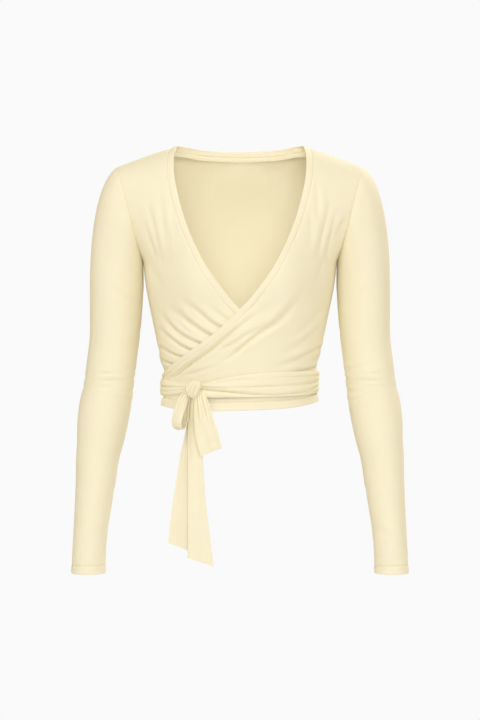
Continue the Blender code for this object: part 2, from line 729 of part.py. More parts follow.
def build_knot(name):
    """A rounded lump of wrapped cloth, flat where it lies on the ties."""
    base, along, out = knot_frame()
    turns, bands = 20, 12
    round_ = np.linspace(0, 2 * math.pi, turns, endpoint=False)[None, :]
    rise = np.linspace(-1, 1, bands + 1)[:, None] * math.pi / 2 * 0.94
    a = np.cos(rise) ** 0.8 * np.cos(round_)
    b = np.cos(rise) ** 0.8 * np.sin(round_)
    c = np.sin(rise) + 0 * round_
    strand = 1 - 0.07 * np.cos(9 * (a * 0.8 + c * 0.5)) * np.clip(b + 0.6, 0, 1)
    b = np.maximum(b, -0.62)
    half_width, half_depth, half_height = KNOT_SIZE
    lean = 0.0035 * c
    middle = base + out * (KNOT_LIFT + half_depth * 0.64)
    grid = middle + along * (a * half_width * strand + lean)[..., None]
    grid = grid + out * (b * half_depth * strand)[..., None]
    grid = grid + np.array([0, 0, 1.0]) * (c * half_height)[..., None]
    mesh = bpy.data.meshes.new(name)
    count = turns * (bands + 1)
    ring = np.arange(count).reshape(bands + 1, turns)
    ring = np.hstack([ring, ring[:, :1]])
    quads = (ring[:-1, :-1], ring[:-1, 1:], ring[1:, 1:], ring[1:, :-1])
    faces = np.stack(quads, axis=-1).reshape(-1, 4).tolist()
    faces.append(ring[0, :-1][::-1].tolist())
    faces.append(ring[-1, :-1].tolist())
    mesh.from_pydata(grid.reshape(-1, 3).tolist(), [], faces)
    finish(name, mesh, cloth)


def hang(x, z, out):
    """Points in front of the knot: across and down as seen from the front, and how far out."""
    base, _, _ = knot_frame()
    return points(x, base[1] - KNOT_LIFT - HANG - out, z)


def build_loop(name):
    """The half bow's loop: a strip that hangs down and comes back up behind itself."""
    steps = np.linspace(0, 1, 17)
    size = {key: BOW_LOOP.at(key, steps)[:, None] for key in BOW_LOOP.names[1:]}
    share = np.array([[-1.0, -0.4, 0.3, 1.0]])
    across = size["half_width"] * share
    curl = 0.0015 * share**2
    rise = 0.29
    x = size["x"] + across * math.sqrt(1 - rise**2)
    strip(name, hang(x, size["z"] + across * rise, size["out"] - curl), CLOTH, cloth)


def build_short_tail(name):
    """The end of one tie, hanging open below the knot."""
    steps = np.linspace(0, 1, 13)[:, None]
    across = np.linspace(0, 1, 8)[None, :]
    size = {key: TAIL_SHORT.at(key, steps) for key in TAIL_SHORT.names[1:]}
    x = size["left_x"] + (size["right_x"] - size["left_x"]) * across
    z = size["left_z"] + (size["right_z"] - size["left_z"]) * across
    fade = 1 - 0.75 * steps
    wave = 0.0022 * np.cos(2 * math.pi * 1.5 * across + 0.6) * fade * np.clip(steps / 0.1, 0.2, 1)
    strip(name, hang(x, z, size["out"] + wave), CLOTH, cloth)


def build_long_tail(name):
    """The end of the other tie, folded once along its length."""
    steps = np.linspace(0, 1, 17)[:, None]
    size = {key: TAIL_LONG.at(key, steps) for key in TAIL_LONG.names[1:]}
    turn = 0.0020
    opened = np.clip(steps / 0.36, 0.25, 1)
    tuck = 0.009 * opened
    left = np.linspace(0, 1, 4)[None, :]
    bend = np.linspace(-90, 90, 5)[None, 1:-1] * math.pi / 180
    right = np.linspace(0, 1, 5)[None, :]
    near_x = size["fold_x"]
    far_x = near_x + tuck
    parts_x = [
        size["left_x"] + (far_x - size["left_x"]) * left,
        far_x + turn * np.cos(bend),
        near_x + (far_x - near_x) * np.array([[1.0, 0.5, 0.0]]),
        near_x - turn * np.cos(bend),
        near_x + (size["right_x"] - near_x) * right,
    ]
    deep = -4 * turn
    parts_out = [
        deep + 0 * left + 0 * steps,
        deep + turn + turn * np.sin(bend) + 0 * steps,
        deep + 2 * turn + np.zeros((1, 3)) + 0 * steps,
        deep + 3 * turn + turn * np.sin(bend) + 0 * steps,
        0.0 * right + 0 * steps,
    ]
    x = np.concatenate(parts_x, axis=1)
    out = np.concatenate(parts_out, axis=1)
    low = np.clip((x - size["left_x"]) / (size["fold_x"] - size["left_x"]), 0, 1)
    far = np.clip((x - size["fold_x"]) / (size["right_x"] - size["fold_x"]), 0, 1)
    count = parts_x[0].shape[1] + parts_x[1].shape[1]
    behind = np.arange(x.shape[1])[None, :] < count
    back_z = size["left_z"] + (size["fold_z"] + 0.010 - size["left_z"]) * low * opened
    front_z = size["fold_z"] + (size["right_z"] - size["fold_z"]) * far
    z = np.where(behind, back_z, front_z)
    wave = 0.0012 * np.sin(9 * steps + 2.5 * far)
    strip(name, hang(x, z, size["out"] + out + wave), CLOTH, cloth)


# --- Making the top ---------------------------------------------------------------------------

for old in list(bpy.data.objects):
    bpy.data.objects.remove(old, do_unlink=True)

top = bpy.data.collections.new("Wrap top")
bpy.context.scene.collection.children.link(top)
cloth = jersey("jersey", (0.90, 0.85, 0.64), 0.85)
band_cloth = jersey("jersey_binding", (0.91, 0.86, 0.66), 0.82)

ROWS = row_values()
seam_angles = edge_angles(ROWS, BAND)
seam_angles[:BAND_END_ROW] = -END_ANGLE
over = front_panel(seam_angles, FRONT_COLUMNS, over=True)
under = front_panel(seam_angles, UNDER_COLUMNS, over=False)
back = back_panel()

settle_seams(*over, [-1], slice(None), -1)
settle_seams(*under, [0], slice(None), -1)
settle_seams(*back, [0, -1], slice(SHOULDER_COLUMNS + NECK_COLUMNS, None), 1)
settle_seams(*back, [], slice(0, SHOULDER_COLUMNS + 1), 1)

left_sleeve = build_sleeve("sleeve_left", over, back, -1, 1)
right_sleeve = build_sleeve("sleeve_right", under, back, 0, -1)
build_cuff("cuff_left", *left_sleeve, 1)
build_cuff("cuff_right", *right_sleeve, -1)

wall("front_over", over[0], thick(*over, CLOTH), cloth)
wall("front_under", under[0], thick(*under, CLOTH), cloth)
wall("back", back[0], thick(*back, CLOTH), cloth)
build_front_band("neckband_over", over, 0, over=True)
build_front_band("neckband_under", under, -1, over=False)
build_back_band("neckband_back", back)

build_tie("tie_over_front", TIE_OVER_FRONT, 24, 2, front_layer=True)
build_tie("tie_over_back", TIE_OVER_BACK, 26, 1)
build_tie("tie_under_back", TIE_UNDER_BACK, 26, 1)
build_tie("tie_under_side", TIE_UNDER_SIDE, 12, 2)
build_knot("knot")
build_loop("bow_loop")
build_short_tail("tail_short")
build_long_tail("tail_long")
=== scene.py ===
# %% [markdown]
# # A wrap top in pale jersey
#
# A wrap top is two fronts that cross over each other, a back, two long sleeves, a narrow
# binding round the neck, and two ties that go round the waist and end in half a bow.
# Jersey is a thin knit that stretches, so it follows the body closely and shows pull lines
# wherever something holds it: at the crossing, under the arms and at the ties.
#
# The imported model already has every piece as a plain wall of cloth. This lesson makes each
# piece again as a finer, thinner sheet on the same form, with its folds, hems and stitches.

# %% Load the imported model
import math

import bpy
import numpy as np
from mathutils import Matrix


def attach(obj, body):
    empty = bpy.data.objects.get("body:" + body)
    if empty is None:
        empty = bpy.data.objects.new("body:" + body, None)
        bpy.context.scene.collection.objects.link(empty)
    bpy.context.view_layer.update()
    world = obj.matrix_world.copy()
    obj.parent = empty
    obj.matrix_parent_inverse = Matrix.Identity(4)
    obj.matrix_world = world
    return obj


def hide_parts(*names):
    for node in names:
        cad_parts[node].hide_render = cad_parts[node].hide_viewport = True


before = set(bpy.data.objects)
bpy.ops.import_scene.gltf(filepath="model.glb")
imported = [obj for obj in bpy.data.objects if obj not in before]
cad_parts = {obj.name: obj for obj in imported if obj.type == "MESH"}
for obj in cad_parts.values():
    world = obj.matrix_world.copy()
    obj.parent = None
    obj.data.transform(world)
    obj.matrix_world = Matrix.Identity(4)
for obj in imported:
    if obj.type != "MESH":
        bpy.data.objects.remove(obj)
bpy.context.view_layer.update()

print("nodes:", sorted(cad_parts))

# %% [markdown]
# ## Sizes in named columns
#
# A pattern maker writes down a few measured levels and draws a smooth line through them. The
# table below does the same: it keeps sizes under named columns and reads them smoothly in
# between, which is easier to change than a mesh.

# %% A table of sizes


class Table:
    """Sizes in rows under named columns; at() reads a column smoothly along the first one."""

    def __init__(self, columns, *rows):
        self.names = columns.split()
        self.rows = np.array(rows, dtype=float)

    def at(self, name, where):
        """A cubic curve through the rows, whose slope at each row is that of its neighbours."""
        keys = self.rows[:, 0]
        values = self.rows[:, self.names.index(name)]
        slopes = np.gradient(values, keys)
        where = np.clip(where, keys[0], keys[-1])
        i = np.clip(np.searchsorted(keys, where, side="right") - 1, 0, len(keys) - 2)
        step = keys[i + 1] - keys[i]
        t = (where - keys[i]) / step
        start = (1 + 2 * t) * (1 - t) ** 2 * values[i] + t * (1 - t) ** 2 * step * slopes[i]
        end = t * t * (3 - 2 * t) * values[i + 1] - t * t * (1 - t) * step * slopes[i + 1]
        return start + end

    def all_at(self, where):
        """Every column but the first at those places, by name."""
        return {name: self.at(name, where) for name in self.names[1:]}


def smooth(t):
    """0 below 0, 1 above 1, and 3 t squared less 2 t cubed between."""
    t = np.clip(t, 0.0, 1.0)
    return t * t * (3.0 - 2.0 * t)


def unit(vectors):
    """Vectors of length one."""
    return vectors / np.maximum(np.linalg.norm(vectors, axis=-1, keepdims=True), 1e-12)


def points(x, y, z):
    """Three arrays of coordinates joined into an array of points."""
    return np.stack(np.broadcast_arrays(x, y, z), axis=-1)


# %% [markdown]
# ## The worn form
#
# The body of the top is a stack of level ovals: a half width, a depth in front and a depth
# behind at each level. Above the armpit the ovals are cut off at the armholes, and at the
# top they close on the line of the shoulders. Rows run from -1 at the hem to 0 at the armpit
# and 1 at the shoulder, and the second parameter is the angle from the middle line.

# %% The levels of the body
SHOULDER_X = 0.184
SHOULDER_SLOPE = 0.375
SHOULDER_TOP = -0.0004
SHOULDER_START = 0.100  # how far out the shoulders begin to slope
SHOULDER_ROUND = 0.012  # how gently they begin
NECK_X = 0.105
NECK_DEPTH = 0.057
NECK_DROP = 0.0125
NECK_STAND = 0.0027
ARMPIT_Z = -0.174
HEM_Z = -0.3838
HEM_DIP = 0.0096
HEM_TILT = 0.003
ARMHOLE_HALF_FRONT = 0.046
ARMHOLE_HALF_BACK = 0.044
BUST_X = 0.070
BUST_Z = -0.205
BUST_WIDE = 0.040
BUST_HIGH = 0.052
BUST_OUT = 0.013
BAND = 0.0105  # width of the binding
HEM = 0.0105  # height of the turned hem
LAYER = 0.0026  # from the under front to the over front
CLOTH = 0.0010  # thickness of the jersey
END_ANGLE = math.radians(88)  # how far round the wrapped end of a front reaches

TORSO = Table(
    "level half_width front back",
    (-0.394, 0.1200, 0.094, 0.086),
    (-0.375, 0.1150, 0.092, 0.081),
    (-0.357, 0.1126, 0.091, 0.078),
    (-0.339, 0.1140, 0.092, 0.078),
    (-0.321, 0.1180, 0.094, 0.079),
    (-0.303, 0.1222, 0.096, 0.081),
    (-0.285, 0.1260, 0.098, 0.084),
    (-0.249, 0.1335, 0.102, 0.089),
    (-0.213, 0.1405, 0.106, 0.093),
    (-0.174, 0.1450, 0.107, 0.096),
    (-0.130, 0.1450, 0.101, 0.097),
    (-0.080, 0.1450, 0.092, 0.095),
    (-0.030, 0.1450, 0.085, 0.090),
    (0.000, 0.1450, 0.083, 0.088),
)


def shoulder_line(x):
    """Height of the shoulder seam: a straight slope, rounded off where it meets the neck."""
    outside = SHOULDER_ROUND * np.log1p(np.exp((np.abs(x) - SHOULDER_START) / SHOULDER_ROUND))
    return SHOULDER_TOP - SHOULDER_SLOPE * outside


def hem_level(angle):
    """Height of the hem: up at the side seams by the fourth power of the sine, and tilted."""
    return HEM_Z - HEM_DIP * (1 - np.sin(angle) ** 4) + HEM_TILT * np.sin(angle)


def bust(x, z):
    """A soft swelling each side of the front: a bell across times a bell down."""
    across = (np.abs(x) - BUST_X) / BUST_WIDE
    down = (z - BUST_Z) / BUST_HIGH
    return BUST_OUT * np.exp(-(across**2) - down**2)


def section(row, back):
    """Half width, depth and side angle of the body at a row.

    Above the armpit the side is the armhole's oval: the depth times the cosine of the side
    angle is twice the half breadth times the root of the product of rise and 1 less rise.
    """
    rise = np.clip(row, 0, 1 - 1e-9)
    level = ARMPIT_Z + np.where(row < 0, row * (ARMPIT_Z - HEM_Z), row * -ARMPIT_Z)
    depth = TORSO.at("back" if back else "front", level) * np.sqrt(1 - rise**2.5)
    half = ARMHOLE_HALF_BACK if back else ARMHOLE_HALF_FRONT
    start = float(TORSO.at("half_width", ARMPIT_Z))
    edge = start + (SHOULDER_X - start) * rise**0.92
    breadth = 2 * half * np.sqrt(rise * (1 - rise))
    side = np.where(row > 0, np.arccos(np.clip(breadth / depth, 0, 1)), math.pi / 2)
    width = np.where(row > 0, edge / np.sin(side), TORSO.at("half_width", level))
    return width, depth, side


def form(row, angle, back=False):
    """Points of the body: width times sine across, depth times cosine out, row for height."""
    width, depth, _ = section(row, back)
    x = width * np.sin(angle)
    top = shoulder_line(x)
    if back:
        top = top - NECK_DROP * np.clip(1 - (x / NECK_X) ** 2, 0, 1) ** 2
    fall = np.where(row < 0, row * (ARMPIT_Z - hem_level(angle)), row * (top - ARMPIT_Z))
    z = ARMPIT_Z + fall
    if not back:
        return points(x, -depth * np.cos(angle) - bust(x, z), z)
    rise = np.clip(row, 0, 1)
    reach = NECK_X + 0.10 * (1 - rise)
    neck = NECK_DEPTH * (1 - np.sqrt(1 - rise**5))
    neck = neck * np.clip(1 - (x / reach) ** 2, 0, 1) ** (0.5 + 1.5 * (1 - rise))
    return points(x, depth * np.cos(angle) + neck, z)


def level_normal(row, angle, back=False):
    """The level unit vector out of the oval: sine over width, cosine over depth."""
    width, depth, _ = section(row, back)
    y = np.cos(angle) / depth
    return unit(points(np.sin(angle) / width, y if back else -y, 0.0))


print("waist width:", round(2 * float(TORSO.at("half_width", -0.357)), 3), "m")

# %% [markdown]
# ## Folds
#
# Knitted cloth that is pulled makes a trough that is sharp where it is held and dies away in
# the slack cloth, with a soft roll on each side. Each fold is a curved line through a few
# points as seen from the front or the back. Every point has its own depth, reach and bluntness,
# so a fold can start crisp and end as a shallow swell. No two are alike, because real folds
# aren't. Sizes here are in millimetres, as they would be chalked on a dress form.

# %% Fold tables, and the functions that read them
MM = 0.001
FOLD_COLUMNS = "fold x z depth reach blunt"
FOLD_STRENGTH = 1.35  # how deep the folds are pulled, as a share of their chalked depth
DIP_REACH = 0.60  # how far a trough runs out, in reaches of its fold
UPPER_ROLL = 0.55  # height of the roll above a fold, as a share of its depth
LOWER_ROLL = 0.25
ROLL_AWAY = 1.7  # from a fold to its rolls, in reaches
ROLL_WIDE = 1.15

UNDER_FOLDS = Table(
    FOLD_COLUMNS,
    (1, -14, -266, 1.2, 3.2, 1.0),
    (1, -33, -253, 0.9, 4.0, 2.5),
    (1, -50, -237, 0.0, 5.0, 4.0),
    (2, -25, -276, 2.7, 3.0, 0.5),
    (2, -45, -265, 3.0, 3.8, 1.0),
    (2, -64, -250, 1.9, 5.0, 3.0),
    (2, -88, -232, 0.0, 6.0, 5.0),
    (3, -39, -288, 2.9, 3.2, 0.4),
    (3, -62, -276, 3.3, 4.0, 0.8),
    (3, -83, -261, 2.3, 5.4, 2.8),
    (3, -106, -242, 0.0, 6.0, 5.0),
    (4, -54, -300, 3.0, 3.0, 0.4),
    (4, -79, -289, 3.2, 3.6, 0.7),
    (4, -100, -275, 2.2, 4.4, 2.0),
    (4, -119, -250, 0.4, 5.0, 4.0),
    (5, -67, -310, 2.5, 2.8, 0.4),
    (5, -87, -301, 2.7, 3.2, 0.7),
    (5, -103, -290, 1.9, 3.8, 1.5),
    (5, -117, -277, 0.8, 4.4, 3.0),
    (6, -80, -319, 2.3, 2.6, 0.4),
    (6, -99, -313, 2.4, 2.8, 0.7),
    (6, -117, -303, 1.5, 3.2, 1.5),
    (7, -92, -329, 1.7, 2.2, 0.4),
    (7, -106, -326, 1.8, 2.4, 0.7),
    (7, -119, -320, 1.2, 2.6, 1.2),
    (8, -44, -272, 0.0, 2.2, 0.8),
    (8, -62, -262, 0.8, 2.4, 1.2),
    (8, -82, -243, 0.0, 3.0, 2.5),
    (9, -62, -287, 0.0, 2.2, 0.8),
    (9, -80, -276, 0.9, 2.6, 1.2),
    (9, -100, -258, 0.0, 3.0, 2.5),
    (11, -143, -112, 0.0, 5.0, 3.0),
    (11, -136, -136, 1.5, 5.0, 3.0),
    (11, -128, -160, 1.6, 4.6, 2.6),
    (11, -122, -178, 0.0, 4.6, 3.0),
    (12, -137, -84, 0.0, 5.0, 3.5),
    (12, -129, -118, 1.4, 4.8, 3.0),
    (12, -120, -156, 1.5, 4.2, 2.6),
    (12, -114, -182, 0.0, 4.6, 3.0),
    (13, -118, -62, 0.0, 5.0, 3.5),
    (13, -115, -102, 1.1, 5.0, 3.5),
    (13, -110, -150, 1.1, 4.6, 3.0),
    (13, -106, -180, 0.0, 5.0, 3.5),
    (14, -107, -112, 0.0, 4.0, 3.0),
    (14, -104, -140, 0.8, 4.0, 3.0),
    (14, -101, -172, 0.0, 4.6, 3.5),
    (15, -99, -84, 0.0, 4.4, 3.0),
    (15, -97, -124, 0.9, 4.4, 3.0),
    (15, -95, -164, 0.0, 5.0, 3.5),
    (16, -90, -110, 0.0, 4.0, 3.0),
    (16, -87, -145, 0.5, 4.2, 3.0),
    (16, -83, -176, 0.0, 5.0, 3.5),
    (17, -136, -170, 0.0, 5.0, 3.0),
    (17, -126, -196, 0.9, 6.0, 4.0),
    (17, -112, -222, 0.0, 7.0, 5.0),
)
OVER_FOLDS = Table(
    FOLD_COLUMNS,
    (1, -104, -353, 2.2, 2.4, 0.4),
    (1, -86, -338, 3.2, 2.8, 0.4),
    (1, -66, -323, 3.5, 3.2, 0.4),
    (1, -37, -302, 3.3, 3.6, 0.7),
    (1, -13, -283, 2.6, 4.2, 1.4),
    (1, 6, -269, 1.5, 5.0, 3.0),
    (1, 28, -253, 0.8, 6.0, 4.0),
    (1, 56, -232, 0.0, 7.0, 5.0),
    (2, -30, -307, 0.0, 3.0, 1.5),
    (2, -12, -299, 1.8, 3.4, 1.2),
    (2, 6, -288, 2.4, 4.2, 1.8),
    (2, 26, -275, 1.7, 5.0, 2.6),
    (2, 50, -254, 0.0, 6.0, 4.0),
    (3, -34, -325, 0.0, 3.4, 1.6),
    (3, -14, -317, 1.3, 3.6, 1.6),
    (3, 8, -298, 3.1, 4.2, 0.8),
    (3, 32, -280, 3.8, 4.8, 0.9),
    (3, 58, -262, 3.1, 5.4, 1.8),
    (3, 84, -234, 0.9, 6.4, 4.0),
    (3, 96, -216, 0.0, 7.0, 5.0),
    (4, 120, -302, 1.9, 3.6, 0.7),
    (4, 104, -311, 2.3, 3.8, 0.7),
    (4, 80, -322, 1.9, 4.4, 1.4),
    (4, 46, -334, 0.0, 5.0, 3.0),
    (5, 118, -331, 1.7, 2.6, 0.5),
    (5, 98, -336, 1.8, 2.8, 0.6),
    (5, 70, -340, 0.0, 3.2, 2.0),
    (6, 121, -272, 0.8, 4.4, 2.4),
    (6, 106, -284, 1.4, 4.6, 2.4),
    (6, 82, -302, 1.0, 5.0, 3.0),
    (6, 56, -317, 0.0, 6.0, 4.0),
    (7, 127, -240, 0.0, 5.0, 3.0),
    (7, 112, -256, 1.0, 5.2, 3.4),
    (7, 92, -277, 0.7, 6.0, 4.0),
    (7, 70, -294, 0.0, 6.0, 4.0),
    (8, -4, -262, 0.0, 3.4, 2.0),
    (8, 14, -248, 0.9, 3.8, 2.4),
    (8, 34, -230, 0.6, 5.0, 3.4),
    (8, 52, -212, 0.0, 6.0, 4.5),
    (9, -88, -345, 0.0, 2.2, 1.2),
    (9, -66, -340, 0.9, 2.6, 1.4),
    (9, -44, -333, 0.8, 3.0, 1.8),
    (9, -20, -326, 0.0, 3.4, 2.4),
    (10, 60, -344, 0.0, 2.4, 1.2),
    (10, 38, -345, 0.8, 2.6, 1.4),
    (10, 10, -345, 0.0, 3.0, 2.0),
    (11, 143, -98, 0.0, 5.0, 3.0),
    (11, 137, -126, 1.5, 4.8, 3.0),
    (11, 130, -156, 1.6, 4.4, 2.6),
    (11, 126, -174, 0.0, 4.6, 3.0),
    (12, 134, -80, 0.0, 5.0, 3.5),
    (12, 127, -116, 1.4, 4.8, 3.0),
    (12, 119, -150, 1.3, 4.6, 3.0),
    (12, 113, -176, 0.0, 5.0, 3.5),
    (13, 112, -52, 0.0, 4.6, 3.0),
    (13, 114, -84, 1.1, 4.4, 3.0),
    (13, 116, -120, 0.0, 4.6, 3.0),
    (14, 152, -118, 1.2, 4.2, 2.6),
    (14, 146, -131, 1.2, 4.2, 2.6),
    (14, 139, -150, 0.0, 4.6, 3.0),
    (15, 101, -92, 0.0, 4.4, 3.0),
    (15, 104, -126, 0.8, 4.6, 3.0),
    (15, 102, -160, 0.0, 5.0, 3.5),
    (16, 125, -164, 0.0, 5.0, 3.0),
    (16, 117, -192, 0.8, 6.0, 4.0),
    (16, 104, -220, 0.0, 7.0, 5.0),
)
BACK_FOLDS = Table(
    FOLD_COLUMNS,
    (1, -119, -306, 1.9, 3.2, 0.6),
    (1, -96, -316, 2.2, 3.6, 0.9),
    (1, -66, -325, 1.4, 4.2, 2.0),
    (1, -26, -330, 0.0, 5.0, 3.0),
    (2, 120, -300, 1.9, 3.4, 0.6),
    (2, 94, -311, 2.3, 3.8, 0.9),
    (2, 60, -321, 1.5, 4.6, 2.0),
    (2, 20, -327, 0.0, 5.4, 3.0),
    (3, -121, -277, 1.2, 4.0, 1.4),
    (3, -98, -290, 1.7, 4.4, 1.6),
    (3, -70, -303, 1.0, 5.0, 2.6),
    (3, -38, -312, 0.0, 6.0, 4.0),
    (4, 123, -262, 1.1, 4.4, 1.6),
    (4, 100, -277, 1.6, 4.8, 1.8),
    (4, 72, -292, 1.0, 5.4, 2.8),
    (4, 42, -303, 0.0, 6.0, 4.0),
    (5, -128, -240, 0.0, 5.0, 3.0),
    (5, -108, -258, 1.0, 5.4, 3.0),
    (5, -82, -276, 0.0, 6.0, 4.0),
    (6, 118, -326, 1.4, 2.8, 0.6),
    (6, 88, -334, 1.6, 3.2, 1.0),
    (6, 46, -338, 0.0, 4.0, 2.4),
    (7, -118, -329, 1.2, 2.8, 0.6),
    (7, -84, -337, 1.3, 3.2, 1.2),
    (7, -48, -339, 0.0, 4.0, 2.4),
    (8, -34, -318, 0.0, 4.0, 2.4),
    (8, -4, -324, 1.2, 4.0, 2.0),
    (8, 30, -318, 0.0, 4.6, 2.8),
    (11, -126, -92, 0.0, 5.0, 3.0),
    (11, -118, -124, 1.3, 5.0, 3.0),
    (11, -112, -158, 0.0, 5.4, 3.5),
    (12, -113, -70, 0.0, 5.0, 3.5),
    (12, -108, -106, 1.0, 5.0, 3.5),
    (12, -106, -146, 0.0, 5.4, 3.5),
    (13, 128, -96, 0.0, 5.0, 3.0),
    (13, 121, -126, 1.2, 5.0, 3.0),
    (13, 113, -164, 0.0, 5.4, 3.5),
    (14, 115, -76, 0.0, 5.0, 3.5),
    (14, 110, -112, 1.1, 5.0, 3.5),
    (14, 106, -152, 0.0, 5.4, 3.5),
    (15, 24, -26, 0.0, 6.0, 4.0),
    (15, 34, -52, 0.7, 6.0, 4.0),
    (15, 38, -86, 0.0, 6.5, 4.5),
    (16, -30, -30, 0.0, 6.0, 4.0),
    (16, -38, -60, 0.5, 6.0, 4.0),
    (16, -44, -92, 0.0, 6.5, 4.5),
)
HEM_FOLDS = Table(
    FOLD_COLUMNS,
    (1, -58, -373, 0.8, 1.8, 0.6),
    (1, -34, -375, 1.5, 2.0, 0.6),
    (1, -8, -376, 1.2, 2.2, 0.9),
    (1, 22, -375, 0.0, 2.6, 1.4),
    (2, 40, -377, 0.0, 2.4, 1.2),
    (2, 70, -374, 0.9, 2.2, 0.9),
    (2, 100, -369, 1.2, 2.0, 0.6),
    (2, 114, -366, 1.0, 2.0, 0.6),
    (3, -114, -374, 1.0, 2.0, 0.6),
    (3, -98, -376, 0.8, 2.4, 1.0),
    (3, -76, -378, 0.0, 2.6, 1.4),
)


def fold_line(points_on_fold):
    """A fold's columns at small even steps along a smooth curve through its few points."""
    steps = np.arange(len(points_on_fold))
    curve = Table("step x z depth reach blunt", *np.column_stack([steps, points_on_fold]))
    return curve.all_at(np.linspace(0, steps[-1], 8 * steps[-1] + 1))


def trough(line, x, z):
    """Height of one fold at points, from the distance d to its line.

    Trough: minus depth times e to the power of -(root of (d squared + blunt squared) less
    blunt) over a share of the reach. Rolls: a high bell above the line and a low one below.
    """
    run_x, run_z = np.diff(line["x"]), np.diff(line["z"])
    from_x, from_z = x[:, None] - line["x"][:-1], z[:, None] - line["z"][:-1]
    along = np.clip((from_x * run_x + from_z * run_z) / (run_x**2 + run_z**2), 0, 1)
    off_x, off_z = from_x - along * run_x, from_z - along * run_z
    nearest = np.argmin(off_x**2 + off_z**2, axis=1)
    pick = np.arange(len(x)), nearest
    step = nearest + along[pick]
    depth, reach, blunt = (
        np.interp(step, np.arange(len(line["x"])), line[key]) for key in ("depth", "reach", "blunt")
    )
    distance = np.hypot(off_x[pick], off_z[pick])
    turned = off_z[pick] * run_x[nearest] - off_x[pick] * run_z[nearest]
    above = distance * np.sign(turned) * np.sign(line["x"][-1] - line["x"][0])
    dip = np.exp(-(np.sqrt(distance**2 + blunt**2) - blunt) / (DIP_REACH * reach))
    upper = UPPER_ROLL * np.exp(-(((above - ROLL_AWAY * reach) / (ROLL_WIDE * reach)) ** 2))
    lower = LOWER_ROLL * np.exp(-(((above + ROLL_AWAY * reach) / (ROLL_WIDE * reach)) ** 2))
    return np.maximum(depth, 0) * (upper + lower - dip)


def creases(table, x, z):
    """How far every fold of a table moves the cloth out, at points seen from the front."""
    x, z = np.broadcast_arrays(x / MM, z / MM)
    total = np.zeros(x.shape)
    for number in np.unique(table.rows[:, 0]):
        line = fold_line(table.rows[table.rows[:, 0] == number][:, 1:])
        margin = 5 * line["reach"].max()
        near = (x > line["x"].min() - margin) & (x < line["x"].max() + margin)
        near &= (z > line["z"].min() - margin) & (z < line["z"].max() + margin)
        total[near] += trough(line, x[near], z[near])
    return total * MM


# %% What the ties and the side seams do to the folds
HELD_Z = -0.352  # from here down the ties hold the cloth
HELD_FADE = 0.014
RIPPLE_HEIGHT = 0.0008
SHORT_WAVE = 0.0046  # lengths of the ripple's two waves, over two pi
LONG_WAVE = 0.0079
RIPPLE_TOP = -0.285
RIPPLE_FADE = 0.03
RIPPLE_REACH = 0.45  # how far round from a side seam its ripple reaches, in radians
LEFT_PHASE = 0.4
RIGHT_PHASE = 2.1
SIDE_FADE = 0.14  # how far round from a side seam the folds begin, in radians


def waist_hold(z):
    """The share of a fold that is left near the ties, which hold the cloth flat."""
    return smooth((z - HELD_Z) / HELD_FADE)


def side_ripple(z, phase):
    """Small bulges down a side seam above the waist: a short and a long wave, fading in."""
    wave = np.sin(z / SHORT_WAVE + phase) + 0.6 * np.sin(z / LONG_WAVE + 2 * phase)
    return RIPPLE_HEIGHT * wave * smooth((RIPPLE_TOP - z) / RIPPLE_FADE) * waist_hold(z)


def near_sides(rows, angle, z):
    """The share of a fold that is left near a side seam, and the seam's own ripple.

    Beside the armhole, above those seams, the folds keep their whole depth.
    """
    to_side = math.pi / 2 - np.abs(angle)
    share = np.where(rows < 0.05, smooth(to_side / SIDE_FADE), 1.0)
    phase = np.where(angle > 0, LEFT_PHASE, RIGHT_PHASE)
    return share, side_ripple(z, phase) * (1 - smooth(to_side / RIPPLE_REACH))


BODY_FOLDS = (UNDER_FOLDS, OVER_FOLDS, BACK_FOLDS)
print("folds placed:", sum(len(np.unique(table.rows[:, 0])) for table in BODY_FOLDS))

# %% [markdown]
# ## From a grid of points to a thin sheet
#
# A sheet of cloth is a grid of points with a second grid just inside it. Closing the two with
# rims gives a watertight shell. Each sheet also gets a UV map in metres, measured along its own
# rows and columns, so the knit keeps its real size and follows the cloth round the body.

# %% Shells from grids
SHARP_ANGLE = math.radians(55)


def surface_normals(grid, side, ring=False):
    """Unit normals: the step across times the step along, on the side that is picked."""
    if ring:
        across = np.roll(grid, -1, axis=1) - np.roll(grid, 1, axis=1)
    else:
        across = np.gradient(grid, axis=1)
    return side * unit(np.cross(across, np.gradient(grid, axis=0)))


def run_length(grid, axis, ring=False):
    """Distance from the first row or column, added up along an axis of the grid."""
    if ring:
        grid = np.concatenate([grid, grid[:, :1]], axis=1)
    steps = np.linalg.norm(np.diff(grid, axis=axis), axis=-1)
    start = np.zeros_like(steps[:1] if axis == 0 else steps[:, :1])
    return np.concatenate([start, np.cumsum(steps, axis=axis)], axis=axis)


def cloth_uv(grid, ring=False):
    """UV in metres: along each row from its middle, and up the mean of the columns."""
    across = run_length(grid, 1, ring)
    across = across - across[:, across.shape[1] // 2, None]
    along = run_length(grid, 0, ring).mean(axis=1)
    return np.stack([across, np.broadcast_to(along[:, None], across.shape)], axis=-1)


def numbered(shape, ring):
    """Vertex numbers in a grid of that shape; a ring's first column comes again at its end."""
    number = np.arange(math.prod(shape)).reshape(shape)
    return np.concatenate([number, number[..., :1]], axis=-1) if ring else number


def cells(index):
    """The quads between neighbouring rows and columns of a grid of vertex numbers."""
    corners = [index[..., :-1, :-1], index[..., :-1, 1:], index[..., 1:, 1:], index[..., 1:, :-1]]
    return np.stack(corners, axis=-1).reshape(-1, 4)


def facing_out(vertices, quads):
    """True where the faces of a closed mesh point outwards: its signed volume is positive."""
    a, b, c, d = (vertices[quads[:, i]] for i in range(4))
    return np.einsum("ij,ij->", a, np.cross(b, c)) + np.einsum("ij,ij->", a, np.cross(c, d)) > 0


